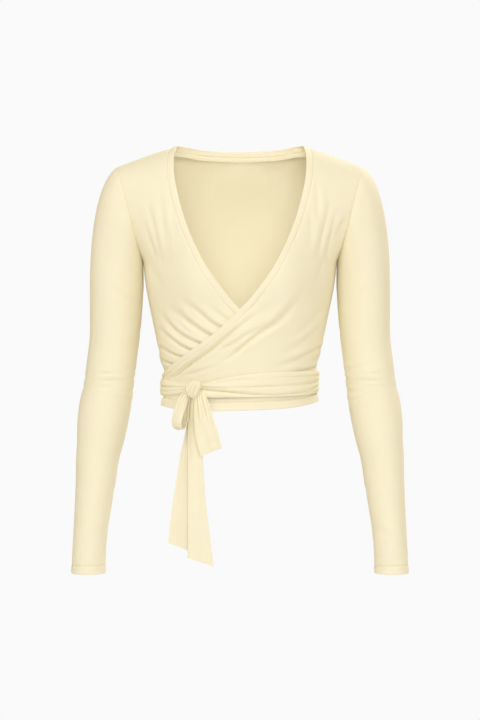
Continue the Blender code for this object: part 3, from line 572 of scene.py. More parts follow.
def placed(name, data):
    """An object in the scene that shows a mesh, a light or a camera."""
    item = bpy.data.objects.new(name, data)
    bpy.context.scene.collection.objects.link(item)
    return item


def add_mesh(name, vertices, quads, uv_quads, uv, material):
    """A smooth shaded closed mesh whose faces point out, sharp where they meet steeply.

    The UV map has quads of its own, so it can be cut open where the mesh is closed.
    """
    if not facing_out(vertices, quads):
        quads, uv_quads = quads[:, ::-1], uv_quads[:, ::-1]
    mesh = bpy.data.meshes.new(name)
    mesh.from_pydata(vertices.tolist(), [], quads.tolist())
    layer = mesh.uv_layers.new(name="cloth")
    layer.data.foreach_set("uv", uv[uv_quads.ravel()].astype(np.float32).ravel())
    mesh.materials.append(material)
    mesh.shade_smooth()
    mesh.set_sharp_from_angle(angle=SHARP_ANGLE)
    return placed(name, mesh)


def shell(name, outer, inner, material, ring=False):
    """A closed wall between an outer and an inner grid, with a rim along each open edge."""
    rows, columns = outer.shape[:2]

    def faces(index, shift):
        outside = cells(index)
        walls = [outside, outside[:, ::-1] + shift]
        rims = [index[0, ::-1], index[-1]]
        if not ring:
            rims += [index[:, 0], index[::-1, -1]]
        for rim in rims:
            first, second = rim[:-1], rim[1:]
            walls.append(np.stack([first, second, second + shift, first + shift], axis=-1))
        return np.concatenate(walls)

    vertices = np.concatenate([outer.reshape(-1, 3), inner.reshape(-1, 3)])
    uv = cloth_uv(outer, ring).reshape(-1, 2)
    quads = faces(numbered((rows, columns), ring), rows * columns)
    uv_quads = faces(numbered((rows, columns + ring), False), len(uv))
    return add_mesh(name, vertices, quads, uv_quads, np.concatenate([uv, uv]), material)


def sheet_of(name, grid, side, material, ring=False, thickness=CLOTH):
    """A shell whose outer face is the grid and whose inner face is a thickness inside it."""
    inner = grid - surface_normals(grid, side, ring) * thickness
    return shell(name, grid, inner, material, ring)


def capped_tube(name, grid, material):
    """A closed mesh from rings of points, with its two ends filled by quads."""
    rings, count = grid.shape[:2]
    half = count // 2

    def lid(ring):
        first, last = ring[:half], ring[count - 1 : count - 1 - half : -1]
        return np.stack([first[:-1], last[:-1], last[1:], first[1:]], axis=-1)

    def faces(index):
        return np.concatenate([cells(index), lid(index[0]), lid(index[-1])[:, ::-1]])

    quads = faces(numbered((rings, count), True))
    uv_quads = faces(numbered((rings, count + 1), False))
    uv = cloth_uv(grid, True).reshape(-1, 2)
    return add_mesh(name, grid.reshape(-1, 3), quads, uv_quads, uv, material)


def triangles(piece):
    """How many triangles a mesh object draws."""
    return sum(len(p.vertices) - 2 for p in piece.data.polygons)


# %% [markdown]
# ## The jersey
#
# Jersey is knitted in rows of small loops, and from the right side each loop looks like a V.
# The V columns are under a millimetre wide, so they are far too many to model: they are a
# bump worked out from the UV map. Two materials need them, the plain jersey and the doubled
# binding, so the knit is a node group that both use. A second group makes the slight cloudiness
# of dyed cotton. The cloth is matt with a little sheen from its fine surface hairs.

# %% Node helpers


def new_group(name, inputs, outputs):
    """A shader node group with float or vector sockets, and its two end nodes."""
    group = bpy.data.node_groups.new(name, "ShaderNodeTree")
    for label, kind in inputs:
        group.interface.new_socket(label, in_out="INPUT", socket_type=kind)
    for label, kind in outputs:
        group.interface.new_socket(label, in_out="OUTPUT", socket_type=kind)
    return group, group.nodes.new("NodeGroupInput"), group.nodes.new("NodeGroupOutput")


def maths(tree, operation, a, b=None):
    """A Math node on two values, each a socket or a number; returns its output."""
    node = tree.nodes.new("ShaderNodeMath")
    node.operation = operation
    for socket, value in zip(node.inputs, (a, b)):
        if isinstance(value, bpy.types.NodeSocket):
            tree.links.new(value, socket)
        elif value is not None:
            socket.default_value = value
    return node.outputs[0]


# %% The knit: columns of small V shapes
FLOAT = "NodeSocketFloat"
VECTOR = "NodeSocketVector"


def knit_group():
    """Height and gaps of plain knitting.

    Across: the distance from the middle of a column. Along: a wave whose phase is moved by
    that distance, so each loop bends into a V. Height is the product of their sines, each
    raised to a power that makes it blunter, and a gap is one less the height.
    """
    group, start, end = new_group(
        "Knit loops",
        [("Place", VECTOR), ("Column", FLOAT), ("Row", FLOAT)],
        [("Height", FLOAT), ("Gap", FLOAT)],
    )
    split = group.nodes.new("ShaderNodeSeparateXYZ")
    group.links.new(start.outputs["Place"], split.inputs[0])
    across = maths(group, "DIVIDE", split.outputs["X"], start.outputs["Column"])
    along = maths(group, "DIVIDE", split.outputs["Y"], start.outputs["Row"])
    middle = maths(group, "ABSOLUTE", maths(group, "SUBTRACT", maths(group, "FRACT", across), 0.5))
    bent = maths(group, "ADD", along, maths(group, "MULTIPLY", middle, 1.6))
    loop = maths(group, "ABSOLUTE", maths(group, "SINE", maths(group, "MULTIPLY", bent, math.pi)))
    leg = maths(group, "SINE", maths(group, "MULTIPLY", middle, 2 * math.pi))
    loop = maths(group, "POWER", loop, 0.6)
    leg = maths(group, "POWER", leg, 0.5)
    height = maths(group, "MULTIPLY", loop, leg)
    group.links.new(height, end.inputs["Height"])
    group.links.new(maths(group, "SUBTRACT", 1.0, height), end.inputs["Gap"])
    return group


def cloud_group():
    """Slow and fine unevenness of dyed cloth, each about 0 to 1, from noise on a position."""
    group, start, end = new_group(
        "Dyed cloth",
        [("Place", VECTOR), ("Patches", FLOAT), ("Flecks", FLOAT)],
        [("Cloud", FLOAT), ("Fleck", FLOAT)],
    )
    for source, output, detail in (("Patches", "Cloud", 3.0), ("Flecks", "Fleck", 1.0)):
        noise = group.nodes.new("ShaderNodeTexNoise")
        noise.inputs["Detail"].default_value = detail
        group.links.new(start.outputs["Place"], noise.inputs["Vector"])
        group.links.new(start.outputs[source], noise.inputs["Scale"])
        group.links.new(noise.outputs["Fac"], end.inputs[output])
    return group


KNIT = knit_group()
CLOUD = cloud_group()

# %% The two cloths
KNIT_RELIEF = 0.00012  # height of a loop
GAP_SHADE = 0.24  # the share of the painted shade colour in the gaps between loops
BUTTER = (0.902, 0.840, 0.646)
BUTTER_LIGHT = (0.924, 0.868, 0.676)
# painted shade: a deeper butter that stands for the shade falling in the gaps between loops
BUTTER_PAINTED_SHADE = (0.840, 0.718, 0.452)


def colour_mix(tree, factor, a, b):
    """A colour between two, by a factor that changes over the surface."""
    node = tree.nodes.new("ShaderNodeMix")
    node.data_type = "RGBA"
    tree.links.new(factor, node.inputs["Factor"])
    for socket, value in ((node.inputs["A"], a), (node.inputs["B"], b)):
        if isinstance(value, bpy.types.NodeSocket):
            tree.links.new(value, socket)
        else:
            socket.default_value = (*value, 1.0)
    return node.outputs["Result"]


def new_material(name):
    """A material, its node tree and its shader."""
    material = bpy.data.materials.new(name)
    material.use_nodes = True
    return material, material.node_tree, material.node_tree.nodes["Principled BSDF"]


def dyed(tree, patches, flecks):
    """The dyed cloth group on the object's own coordinates, with the scales of its noises."""
    place = tree.nodes.new("ShaderNodeTexCoord")
    cloud = tree.nodes.new("ShaderNodeGroup")
    cloud.node_tree = CLOUD
    tree.links.new(place.outputs["Object"], cloud.inputs["Place"])
    cloud.inputs["Patches"].default_value = patches
    cloud.inputs["Flecks"].default_value = flecks
    return cloud


def add_bump(tree, shader, height, strength, distance):
    """A bump node that turns a height into the shader's normal."""
    relief = tree.nodes.new("ShaderNodeBump")
    relief.inputs["Strength"].default_value = strength
    relief.inputs["Distance"].default_value = distance
    tree.links.new(height, relief.inputs["Height"])
    tree.links.new(relief.outputs["Normal"], shader.inputs["Normal"])


def jersey_material(name, column, row, bump):
    """Pale jersey: knit bump, cloudy colour, painted shade in the gaps between loops, soft sheen.
    """
    material, tree, shader = new_material(name)
    uv = tree.nodes.new("ShaderNodeUVMap")
    uv.uv_map = "cloth"
    knit = tree.nodes.new("ShaderNodeGroup")
    knit.node_tree = KNIT
    tree.links.new(uv.outputs["UV"], knit.inputs["Place"])
    knit.inputs["Column"].default_value = column
    knit.inputs["Row"].default_value = row
    cloud = dyed(tree, patches=22.0, flecks=900.0)
    cloudy = colour_mix(tree, cloud.outputs["Cloud"], BUTTER, BUTTER_LIGHT)
    # painted shade: the gaps between loops are mixed towards the deeper colour
    gap = maths(tree, "MULTIPLY", knit.outputs["Gap"], GAP_SHADE)
    colour = colour_mix(tree, gap, cloudy, BUTTER_PAINTED_SHADE)
    tree.links.new(colour, shader.inputs["Base Color"])
    rough = maths(tree, "ADD", maths(tree, "MULTIPLY", cloud.outputs["Fleck"], 0.12), 0.78)
    tree.links.new(rough, shader.inputs["Roughness"])
    fuzz = maths(tree, "MULTIPLY", cloud.outputs["Fleck"], 0.5)
    height = maths(tree, "ADD", knit.outputs["Height"], fuzz)
    add_bump(tree, shader, height, bump, KNIT_RELIEF)
    shader.inputs["Sheen Weight"].default_value = 0.18
    shader.inputs["Sheen Roughness"].default_value = 0.45
    shader.inputs["Sheen Tint"].default_value = (1.0, 0.88, 0.55, 1.0)
    shader.inputs["Specular IOR Level"].default_value = 0.12
    return material


jersey = jersey_material("Pale jersey", 0.00085, 0.00070, 0.85)
binding = jersey_material("Doubled jersey", 0.00095, 0.00075, 0.75)
print("materials:", jersey.name, "and", binding.name)

# %% [markdown]
# ## Fronts and back
#
# Both fronts share one edge line. It runs from the shoulder down across the middle and on to
# the other side seam, and the over front follows it one way and the under front the other.
# The under front lies a layer further in where the two overlap, and takes the folds of the one
# above it there. Each panel dips a little at its seams, as sewn cloth does.

# %% The edge line and the layers
NECKLINE = Table(
    "level free_x",
    (-0.356, -0.1180),
    (-0.348, -0.1155),
    (-0.3373, -0.1087),
    (-0.327, -0.0985),
    (-0.3166, -0.0850),
    (-0.297, -0.0575),
    (-0.280, -0.0355),
    (-0.262, -0.0158),
    (-0.2472, -0.0005),
    (-0.235, 0.0116),
    (-0.215, 0.0275),
    (-0.190, 0.0455),
    (-0.155, 0.0645),
    (-0.120, 0.0790),
    (-0.085, 0.0895),
    (-0.060, 0.0950),
    (-0.036, 0.0980),
    (-0.017, 0.0975),
    (0.000, 0.0935),
)
HEM_HEIGHTS = np.array([0, 1.2, 3.0, 5.0, 7.0, 8.4, 9.3, 9.9, 10.5, 11.1, 11.7, 12.6, 14.0]) * MM
HEM_ROWS = 8  # the row at the top of the turned hem
BELOW_ROWS = 120
ARMHOLE_ROWS = 72
OVER_COLUMNS = 152
UNDER_COLUMNS = 136
BACK_COLUMNS = 158
LAYER_TOP = -0.130  # below this level the two fronts lie a layer apart
LAYER_FADE = 0.080
EDGE_LIMIT = 0.9994  # the largest share of the half width at which an edge may lie
SLANT_LIMIT = 1.4
WIDTH_LIMIT = 0.0150
TURN_LEAST = 0.030
SHARED_TOP = -0.20  # below this level the under front has the folds of the one over it
SHARED_FADE = 0.03
COVER_FADE = 0.006
HEM_SWELL = 0.0010  # how far the doubled hem stands out
HEM_DENT = 0.0017  # how deep the line at its top sinks
LOW_ROWS = HEM_HEIGHTS / (ARMPIT_Z - HEM_Z + 0.5 * HEM_DIP)
ROWS = np.concatenate(
    [
        -1 + LOW_ROWS,
        -1 + np.linspace(LOW_ROWS[-1], 1, BELOW_ROWS - len(LOW_ROWS) + 2)[1:-1],
        (1 - np.cos(np.linspace(0, math.pi, ARMHOLE_ROWS + 1))) / 2,
    ]
)


def edge_angles(rows, width):
    """A binding's angle at each row, a width of cloth away from its free edge.

    The edge's level depends on its angle and the angle on the level, so they take turns
    until they agree. On a slanting edge the width grows by the root of 1 + slant squared.
    """
    angle = np.zeros(len(rows))
    for _ in range(6):
        z = form(rows, angle)[:, 2]
        half_width, depth, _ = section(rows, False)
        reach = np.clip(NECKLINE.at("free_x", z) / half_width, -EDGE_LIMIT, EDGE_LIMIT)
        angle = np.arcsin(reach)
    if np.max(width) == 0:
        return np.maximum(angle, -END_ANGLE)
    turn = np.hypot(half_width * np.cos(angle), depth * np.sin(angle))
    turn = np.maximum(turn, TURN_LEAST)
    slant = np.where(rows > 0.9, 0.0, np.gradient(angle * turn, z))
    slant = np.clip(slant, -SLANT_LIMIT, SLANT_LIMIT)
    across = np.minimum(width * np.sqrt(1 + slant**2), WIDTH_LIMIT)
    return np.maximum(angle + across / turn, -END_ANGLE)


def layer_lift(angle, z, over):
    """The over front lies a layer out at its free end, the under front a layer in at its own."""
    ramp = np.clip(angle / math.pi + 0.5, 0, 1)
    lift = (1 - ramp) if over else -ramp
    return LAYER * lift * smooth((LAYER_TOP - z) / LAYER_FADE)


def hem_relief(rows, angle):
    """The turned hem: a hair thicker than the cloth above it, with a dent where it ends."""
    height = (rows + 1) * (ARMPIT_Z - hem_level(angle))
    thicker = HEM_SWELL * (1 - smooth((height - HEM + 0.0008) / 0.0016))
    return thicker - HEM_DENT * np.exp(-(((height - HEM - 0.0003) / 0.0011) ** 2))


# %% Panels as grids
SEAM_STEPS = np.array([0, 0.0022, 0.0048, 0.0078, 0.0115])
EASE_REACH = 0.009  # half height of the bell that softens the form at the armpit
EASE_RANGE = 0.030  # how far above and below the armpit it works
EASE_SHARE = 0.16  # how far across a panel it takes to begin


def panel_shares(columns):
    """Places across a panel: close together at both seams, even between them."""
    even = np.linspace(SEAM_STEPS[-1], 1 - SEAM_STEPS[-1], columns - 2 * len(SEAM_STEPS) + 2)
    return np.concatenate([SEAM_STEPS[:-1], even, 1 - SEAM_STEPS[-2::-1]])


def seam_dip(distance, depth=0.0009, reach=0.0013):
    """How far cloth sinks beside a seam: a bell in the distance from it."""
    return depth * np.exp(-((distance / reach) ** 2))


def eased(grid, shares):
    """Softens the change of form at the level of the armpit, but not at the armhole itself.

    Each point moves to a weighted mean of its column, with a bell round its own level.
    """
    level = grid[..., 2].mean(axis=1)
    spacing = np.gradient(level)
    bell = np.exp(-(((level[:, None] - level[None, :]) / EASE_REACH) ** 2)) * spacing[None, :]
    mean = np.einsum("ij,jkl->ikl", bell / bell.sum(axis=1, keepdims=True), grid)
    near = np.exp(-(((level - ARMPIT_Z) / EASE_RANGE) ** 2))
    mask = near[:, None] * smooth(shares / EASE_SHARE)[None, :]
    return grid + (mean - grid) * mask[..., None]


def front_grid(over, columns):
    """Outer points of a front: the body's form, its layer, its folds and its hem."""
    seam = edge_angles(ROWS, BAND)
    _, _, side = section(ROWS, False)
    shares = panel_shares(columns)
    angle = seam[:, None] + (side - seam)[:, None] * shares[None, :]
    from_side = 1 - shares
    if not over:
        angle, from_side = -angle[:, ::-1], from_side[::-1]
    rows = np.broadcast_to(ROWS[:, None], angle.shape)
    base = eased(form(rows, angle), from_side)
    x, z = base[..., 0], base[..., 2]
    if over:
        folds = creases(OVER_FOLDS, x, z)
    else:
        covered = smooth((x - NECKLINE.at("free_x", z) + MM) / COVER_FADE)
        folds = creases(UNDER_FOLDS, x, z) * (1 - covered)
        shared = covered * smooth((SHARED_TOP - z) / SHARED_FADE)
        folds = folds + creases(OVER_FOLDS, x, z) * shared
    share, ripple = near_sides(rows, angle, z)
    folds = FOLD_STRENGTH * (folds * share * waist_hold(z)) + creases(HEM_FOLDS, x, z)
    lift = layer_lift(angle, z, over) + folds + ripple + hem_relief(rows, angle)
    return base + level_normal(rows, angle) * lift[..., None]


def back_grid(columns):
    """Outer points of the back, made like a front; near the neck its folds fade out."""
    _, _, side = section(ROWS, True)
    shares = panel_shares(columns)
    angle = side[:, None] * (2 * shares - 1)[None, :]
    rows = np.broadcast_to(ROWS[:, None], angle.shape)
    base = eased(form(rows, angle, back=True), np.minimum(shares, 1 - shares))
    x, z = base[..., 0], base[..., 2]
    share, ripple = near_sides(rows, angle, z)
    folds = creases(BACK_FOLDS, x, z) * waist_hold(z) * share
    folds = FOLD_STRENGTH * folds + creases(HEM_FOLDS, -x, z)
    lift = folds * (1 - smooth((rows - 0.8) / 0.15)) + ripple + hem_relief(rows, angle)
    return base + level_normal(rows, angle, back=True) * lift[..., None]


over = front_grid(True, OVER_COLUMNS)
under = front_grid(False, UNDER_COLUMNS)
back = back_grid(BACK_COLUMNS)
print("front grid:", over.shape, "back grid:", back.shape)

# %% [markdown]
# ## Sleeves
#
# A set-in sleeve starts on the curved armhole and soon becomes a tube. Its rings here blend
# from the armhole's own points to level ovals, with a curve that leaves the shoulder sideways
# and arrives hanging straight down. Creases gather softly inside the elbow and under the arm.

# %% Sleeve sizes and rings
SLEEVE_HEAD_Z = -0.210
SLEEVE_END_Z = -0.6240
LEAVE_OUT = 0.100  # slope of the cap sideways where it leaves the top of its armhole
LEAVE_ROUND = 0.014  # and to the front and back where it leaves half way up
LEAVE_DOWN = 0.036  # slope down where it leaves the armpit
LEAVE_DOWN_MORE = 0.034  # and what the top has more than the armpit
ARRIVE_DOWN = 0.036  # the same two where it arrives at the first oval
ARRIVE_DOWN_MORE = 0.160
PLAIN_RINGS = 4  # rings at the armhole without creases
CREASE_RINGS = 16  # rings over which the creases come in
SLEEVE = Table(
    "level centre half_width half_depth centre_y",
    (-0.6420, 0.2254, 0.0249, 0.0265, -0.026),
    (-0.6090, 0.2244, 0.0250, 0.0275, -0.025),
    (-0.5730, 0.2221, 0.0255, 0.0290, -0.023),
    (-0.5370, 0.2185, 0.0275, 0.0315, -0.020),
    (-0.5010, 0.2150, 0.0298, 0.0345, -0.017),
    (-0.4650, 0.2120, 0.0325, 0.0375, -0.013),
    (-0.4470, 0.2090, 0.0345, 0.0390, -0.011),
    (-0.4110, 0.2047, 0.0382, 0.0410, -0.007),
    (-0.3840, 0.2010, 0.0390, 0.0420, -0.004),
    (-0.3570, 0.1965, 0.0375, 0.0420, -0.002),
    (-0.3210, 0.1920, 0.0373, 0.0425, 0.000),
    (-0.2850, 0.1877, 0.0375, 0.0435, 0.001),
    (-0.2490, 0.1860, 0.0390, 0.0450, 0.001),
    (-0.2100, 0.1848, 0.0402, 0.0460, 0.001),
)

# Soft creases round a sleeve: the level, the turn in degrees from the side nearest the body
# (90 is the front), how far they reach up and round, their depth, and their slope.
SLEEVE_FOLDS = Table(
    "level turn high wide depth slope",
    (-0.336, 20, 0.0032, 55, 0.0011, 0.006),
    (-0.347, 350, 0.0030, 60, 0.0014, -0.004),
    (-0.356, 40, 0.0026, 50, 0.0010, 0.004),
    (-0.366, 10, 0.0032, 65, 0.0013, -0.003),
    (-0.380, 30, 0.0034, 50, 0.0009, 0.006),
    (-0.3405, 98, 0.0020, 30, 0.0015, 0.001),
    (-0.3505, 84, 0.0022, 36, 0.0022, -0.001),
    (-0.3610, 92, 0.0020, 28, 0.0016, 0.001),
    (-0.345, 200, 0.0040, 50, 0.0007, 0.004),
    (-0.362, 185, 0.0034, 45, 0.0008, -0.004),
    (-0.235, 60, 0.0060, 40, 0.0012, 0.030),
    (-0.262, 320, 0.0060, 45, 0.0010, -0.026),
    (-0.520, 330, 0.0060, 60, 0.0008, 0.010),
    (-0.575, 60, 0.0060, 50, 0.0007, -0.010),
    (-0.598, 300, 0.0040, 60, 0.0008, 0.008),
)


def armhole_ring(front, rear, column):
    """The armhole's points in order: from the armpit up the front and down the back."""
    return np.concatenate([front[BELOW_ROWS:, column], rear[BELOW_ROWS + 1 : -1, column][::-1]])


def sleeve_creases(turn, level):
    """Soft troughs round a tube: a bell in height times a bell in turn, on a sloping line.

    Each has a roll half as high as the trough is deep just above it.
    """
    total = np.zeros(np.broadcast(turn, level).shape)
    for at_level, degrees, high, wide, depth, slope in SLEEVE_FOLDS.rows:
        off = (np.degrees(turn) - degrees + 180) % 360 - 180
        up = (level - at_level - slope * off / 60) / high
        roll = 0.5 * np.exp(-((up - 1.6) ** 2))
        total = total + depth * np.exp(-((off / wide) ** 2)) * (roll - np.exp(-(up**2)))
    return total


def sleeve_grid(ring, side, cap_rows, rows):
    """Rings of a sleeve: a cubic blend from the armhole to an oval, then level ovals.

    The blend leaves the armhole outwards and down and arrives at the oval straight down,
    the faster the higher a point is on the armhole. The first rings have no creases.
    """
    turn = np.linspace(0, 2 * math.pi, len(ring), endpoint=False)

    def tube(level):
        size = SLEEVE.all_at(level)
        x = size["centre"] - size["half_width"] * np.cos(turn)
        y = size["centre_y"] - size["half_depth"] * np.sin(turn)
        return points(side * x, y, level)

    end = tube(SLEEVE_HEAD_Z)
    high = (1 - np.cos(turn)) / 2
    leave_z = -LEAVE_DOWN - LEAVE_DOWN_MORE * high
    leave = points(side * LEAVE_OUT * high**1.2, -LEAVE_ROUND * np.sin(turn), leave_z)
    arrive = points(0.0, 0.0, -ARRIVE_DOWN - ARRIVE_DOWN_MORE * high)
    t = np.linspace(0, 1, cap_rows + 1)[:-1, None, None] ** 1.15
    share = (1 + 2 * t) * (1 - t) ** 2
    cap = share * ring + (1 - share) * end
    cap = cap + t * (1 - t) ** 2 * leave - t * t * (1 - t) * arrive
    levels = np.linspace(SLEEVE_HEAD_Z, SLEEVE_END_Z, rows)[:, None]
    grid = np.concatenate([cap, tube(levels)])
    lift = sleeve_creases(turn[None, :], grid[..., 2])
    lift = lift * smooth((np.arange(len(grid)) - PLAIN_RINGS) / CREASE_RINGS)[:, None]
    return grid + surface_normals(grid, -side, ring=True) * lift[..., None]


# %% Sleeves and their shared seams
CAP_ROWS = 42
TUBE_ROWS = 150


def sink_seam(front, rear, column, side):
    """Makes a sleeve on its armhole, and lets the panels and the sleeve sink along the seam.

    All three move along one line, the mean of their normals turned inwards, by a bell in
    the distance from the seam, so that they stay together.
    """
    ring = armhole_ring(front, rear, column)
    grid = sleeve_grid(ring, side, CAP_ROWS, TUBE_ROWS)
    own = surface_normals(grid, -side, ring=True)
    body = armhole_ring(surface_normals(front, 1), surface_normals(rear, -1), column)
    into = -unit(own[0] + body)
    away = np.linalg.norm(grid - grid[:1], axis=-1)
    grid = grid + into[None] * seam_dip(away)[..., None]
    up_front = into[: ARMHOLE_ROWS + 1]
    up_rear = np.concatenate([into[:1], into[: ARMHOLE_ROWS - 1 : -1]])
    for panel, part in ((front, up_front), (rear, up_rear)):
        edge = panel[BELOW_ROWS:]
        near = np.linalg.norm(edge - edge[:, column, None], axis=-1)
        panel[BELOW_ROWS:] = edge + part[:, None] * seam_dip(near)[..., None]
    return grid


left_sleeve = sink_seam(over, back, -1, 1)
right_sleeve = sink_seam(under, back, 0, -1)
print("sleeve grid:", left_sleeve.shape)


# %% Side seams, bindings and shoulders
SHOULDER_DIP = 0.0006
SHOULDER_SEAM_X = NECK_X - 0.012  # the shoulder seams run outwards from here


def sink_side(panel, column, inwards):
    """Lets a panel sink along a side seam, in the direction of x that leads inwards."""
    below = panel[:BELOW_ROWS]
    near = np.linalg.norm(below - below[:, column, None], axis=-1)
    panel[:BELOW_ROWS, :, 0] += inwards * seam_dip(near)


for panel, column, inwards in ((over, -1, -1), (under, 0, 1), (back, 0, 1), (back, -1, -1)):
    sink_side(panel, column, inwards)
for panel, column in ((over, 0), (under, -1)):
    near = np.linalg.norm(panel - panel[:, column, None], axis=-1)
    panel -= surface_normals(panel, 1)[:, column, None] * seam_dip(near)[..., None]
for panel in (over, under, back):
    near = np.linalg.norm(panel - panel[-1:], axis=-1)
    outside = np.abs(panel[-1, :, 0]) > SHOULDER_SEAM_X
    panel[..., 2] -= seam_dip(near, SHOULDER_DIP) * outside[None, :]

# %% Turned hems, and the cloth of the five large pieces
HEM_GAP = 0.0021  # from the outer face of the doubled hem to its inner face
HEM_TURNS = np.radians([150, 120, 90, 60, 30])  # places round the half circle of an edge


def with_hem(grid, side):
    """Adds the hem that is turned up inside: rows down the inside, then round the edge.

    Round the edge the points lie on a half circle: radius times cosine out, sine down.
    """
    out = surface_normals(grid, side)
    down = unit(grid[0] - grid[1])
    inside = [grid[i] - out[i] * HEM_GAP for i in range(HEM_ROWS, -1, -1)]
    radius = HEM_GAP / 2
    for turn in HEM_TURNS:
        step = out[0] * (math.cos(turn) - 1) + down * math.sin(turn)
        inside.append(grid[0] + radius * step)
    return np.concatenate([np.array(inside), grid])


pieces = {}
pieces["front_over"] = sheet_of("front_over_cloth", with_hem(over, 1), 1, jersey)
pieces["front_under"] = sheet_of("front_under_cloth", with_hem(under, 1), 1, jersey)
pieces["back"] = sheet_of("back_cloth", with_hem(back, -1), -1, jersey)
pieces["sleeve_left"] = sheet_of("sleeve_left_cloth", left_sleeve, -1, jersey, ring=True)
pieces["sleeve_right"] = sheet_of("sleeve_right_cloth", right_sleeve, 1, jersey, ring=True)
for node, piece in pieces.items():
    print(node, triangles(piece), "triangles")

# %% [markdown]
# ## Cuff hems
#
# The sleeve ends in a narrow turned hem. It is a short tube that carries on from the last ring,
# doubled and so a hair thicker, with a soft roll at its lower edge.

# %% Cuff hems
CUFF = 0.0138  # height of the cuff hem
CUFF_LINE = 0.0115  # height over its lower edge at which the doubling ends
CUFF_GAP = 0.0022  # from its outer face to its inner face
CUFF_CLOTH = 0.0009
CUFF_SWELL = 0.0006  # how far the doubled hem stands out
CUFF_DENT = 0.0005  # how deep the line at its top sinks
CUFF_OUTER = 14  # rings down its outside
CUFF_INNER = 8  # rings up its inside
CUFF_STITCH_RINGS = (4, 6)  # the rings that its two rows of stitches follow


def cuff_grid(grid, side):
    """Rings below the last one of a sleeve: down the outside, round the edge and up inside.

    Below a dent where the doubling ends, the outside stands a hair further out. Round the
    edge the rings lie on a half circle: radius times sine down, times cosine out.
    """
    down = unit(grid[-1] - grid[-2])
    out = surface_normals(grid, -side, ring=True)[-1]
    outside = np.linspace(0.0002, CUFF - CUFF_GAP / 2, CUFF_OUTER)
    swell = 0.0001 + CUFF_SWELL * smooth((outside - 0.0012) / 0.0020)
    swell -= CUFF_DENT * np.exp(-(((outside - CUFF + CUFF_LINE) / 0.0008) ** 2))
    turn = HEM_TURNS[::-1]
    inside = np.linspace(CUFF - CUFF_GAP / 2, CUFF - CUFF_LINE, CUFF_INNER)
    radius = CUFF_GAP / 2
    drop = np.concatenate([outside, outside[-1] + radius * np.sin(turn), inside])
    bend = swell[-1] + radius * (np.cos(turn) - 1)
    proud = np.concatenate([swell, bend, 0 * inside + swell[-1] - CUFF_GAP])
    return grid[-1][None] + down[None] * drop[:, None, None] + out[None] * proud[:, None, None]


left_cuff = cuff_grid(left_sleeve, 1)
right_cuff = cuff_grid(right_sleeve, -1)
pieces["cuff_left"] = sheet_of("cuff_left_hem", left_cuff, -1, binding, True, CUFF_CLOTH)
pieces["cuff_right"] = sheet_of("cuff_right_hem", right_cuff, 1, binding, True, CUFF_CLOTH)

# %% [markdown]
# ## The neck binding
#
# A strip of jersey is folded lengthwise round the raw edge of the neck and sewn down. It
# stands a little proud of the cloth, with a rounded free edge. It is made as one section
# carried along the neckline: out over the face, round the edge and back inside.

# %% A section carried along an edge
BAND_GAP = 0.0024  # thickness of the folded strip
BAND_CLOTH = 0.0008  # thickness of one layer of it
BAND_ARCH = 0.0003  # how far the middle of its face stands over its edges
BAND_BASE = 0.0004  # how far its face lies over the cloth's
BAND_SHARES = np.array([0, 0.03, 0.08, 0.15, 0.26, 0.42, 0.58, 0.74, 0.88, 1.0])
BAND_TURNS = np.radians(np.linspace(90, -90, 9)[1:-1])  # places round its free edge
BAND_BACK = 9  # places across the part that comes back inside
BAND_INSIDE = 0.0160  # how far the binding of the back neck hangs inside
BAND_FOLLOW = 0.3  # the share of a fold that the binding takes on
BAND_STOP = int(np.searchsorted(ROWS, -0.812))  # the row where the binding goes under the tie


def band_section(near, free, normal):
    """Points of a binding's section at each place along it: a strip folded round an edge.

    The face starts in the seam's groove, crosses to the free edge on a low arch, turns round
    it in a half circle, and the strip comes back inside to the same seam.
    """
    radius = BAND_GAP / 2
    across = unit(free - near)
    width = np.linalg.norm(free - near, axis=-1)[:, None, None] - radius
    face, turn = BAND_SHARES, BAND_TURNS
    inside = np.linspace(1, 0, BAND_BACK)
    reach = np.concatenate([face, np.ones(len(turn)), inside])[None, :, None]
    beyond = np.concatenate([0 * face, radius * np.cos(turn), 0 * inside])[None, :, None]
    top = 0.0007 * smooth(face / 0.14) + BAND_ARCH * np.sin(math.pi * face) - 0.0003
    edge = BAND_BASE - radius + radius * np.sin(turn)
    height = np.concatenate([top, edge, BAND_BASE - BAND_GAP + 0 * inside])
    path = near[:, None] + across[:, None] * (width * reach + beyond)
    return path + normal[:, None] * height[None, :, None]


def front_band(name, panel, column, is_over):
    """The binding of a front, from its shoulder to the place where it goes under the tie.

    Its free edge follows the folds a little, and rises to meet the back neck's binding.
    Near the side seam the over front's one stands a hair further out.
    """
    rows = ROWS[BAND_STOP:]
    free = edge_angles(rows, 0.0) * (1 if is_over else -1)
    near = panel[BAND_STOP:, column]
    base = form(rows, free)
    normal = surface_normals(panel, 1)[BAND_STOP:, column]
    fold = creases(OVER_FOLDS if is_over else UNDER_FOLDS, base[:, 0], base[:, 2])
    follow = BAND_FOLLOW * fold * waist_hold(base[:, 2])
    lift = layer_lift(free, base[:, 2], is_over) + follow
    edge = base + level_normal(rows, free) * lift[:, None]
    edge[:, 2] += NECK_STAND * np.clip((rows - 0.8) / 0.2, 0, 1) ** 2
    edge[-1, 1] = near[-1, 1]
    clear = 0.0008 * smooth((np.abs(free) - 1.0) / 0.4) if is_over else 0 * free
    near, edge = near + normal * clear[:, None], edge + normal * clear[:, None]
    side = -1 if is_over else 1
    grid = band_section(near, edge, normal)
    return sheet_of(name, grid, side, binding, thickness=BAND_CLOTH)


pieces["neckband_over"] = front_band("neckband_over_strip", over, 0, True)
pieces["neckband_under"] = front_band("neckband_under_strip", under, -1, False)


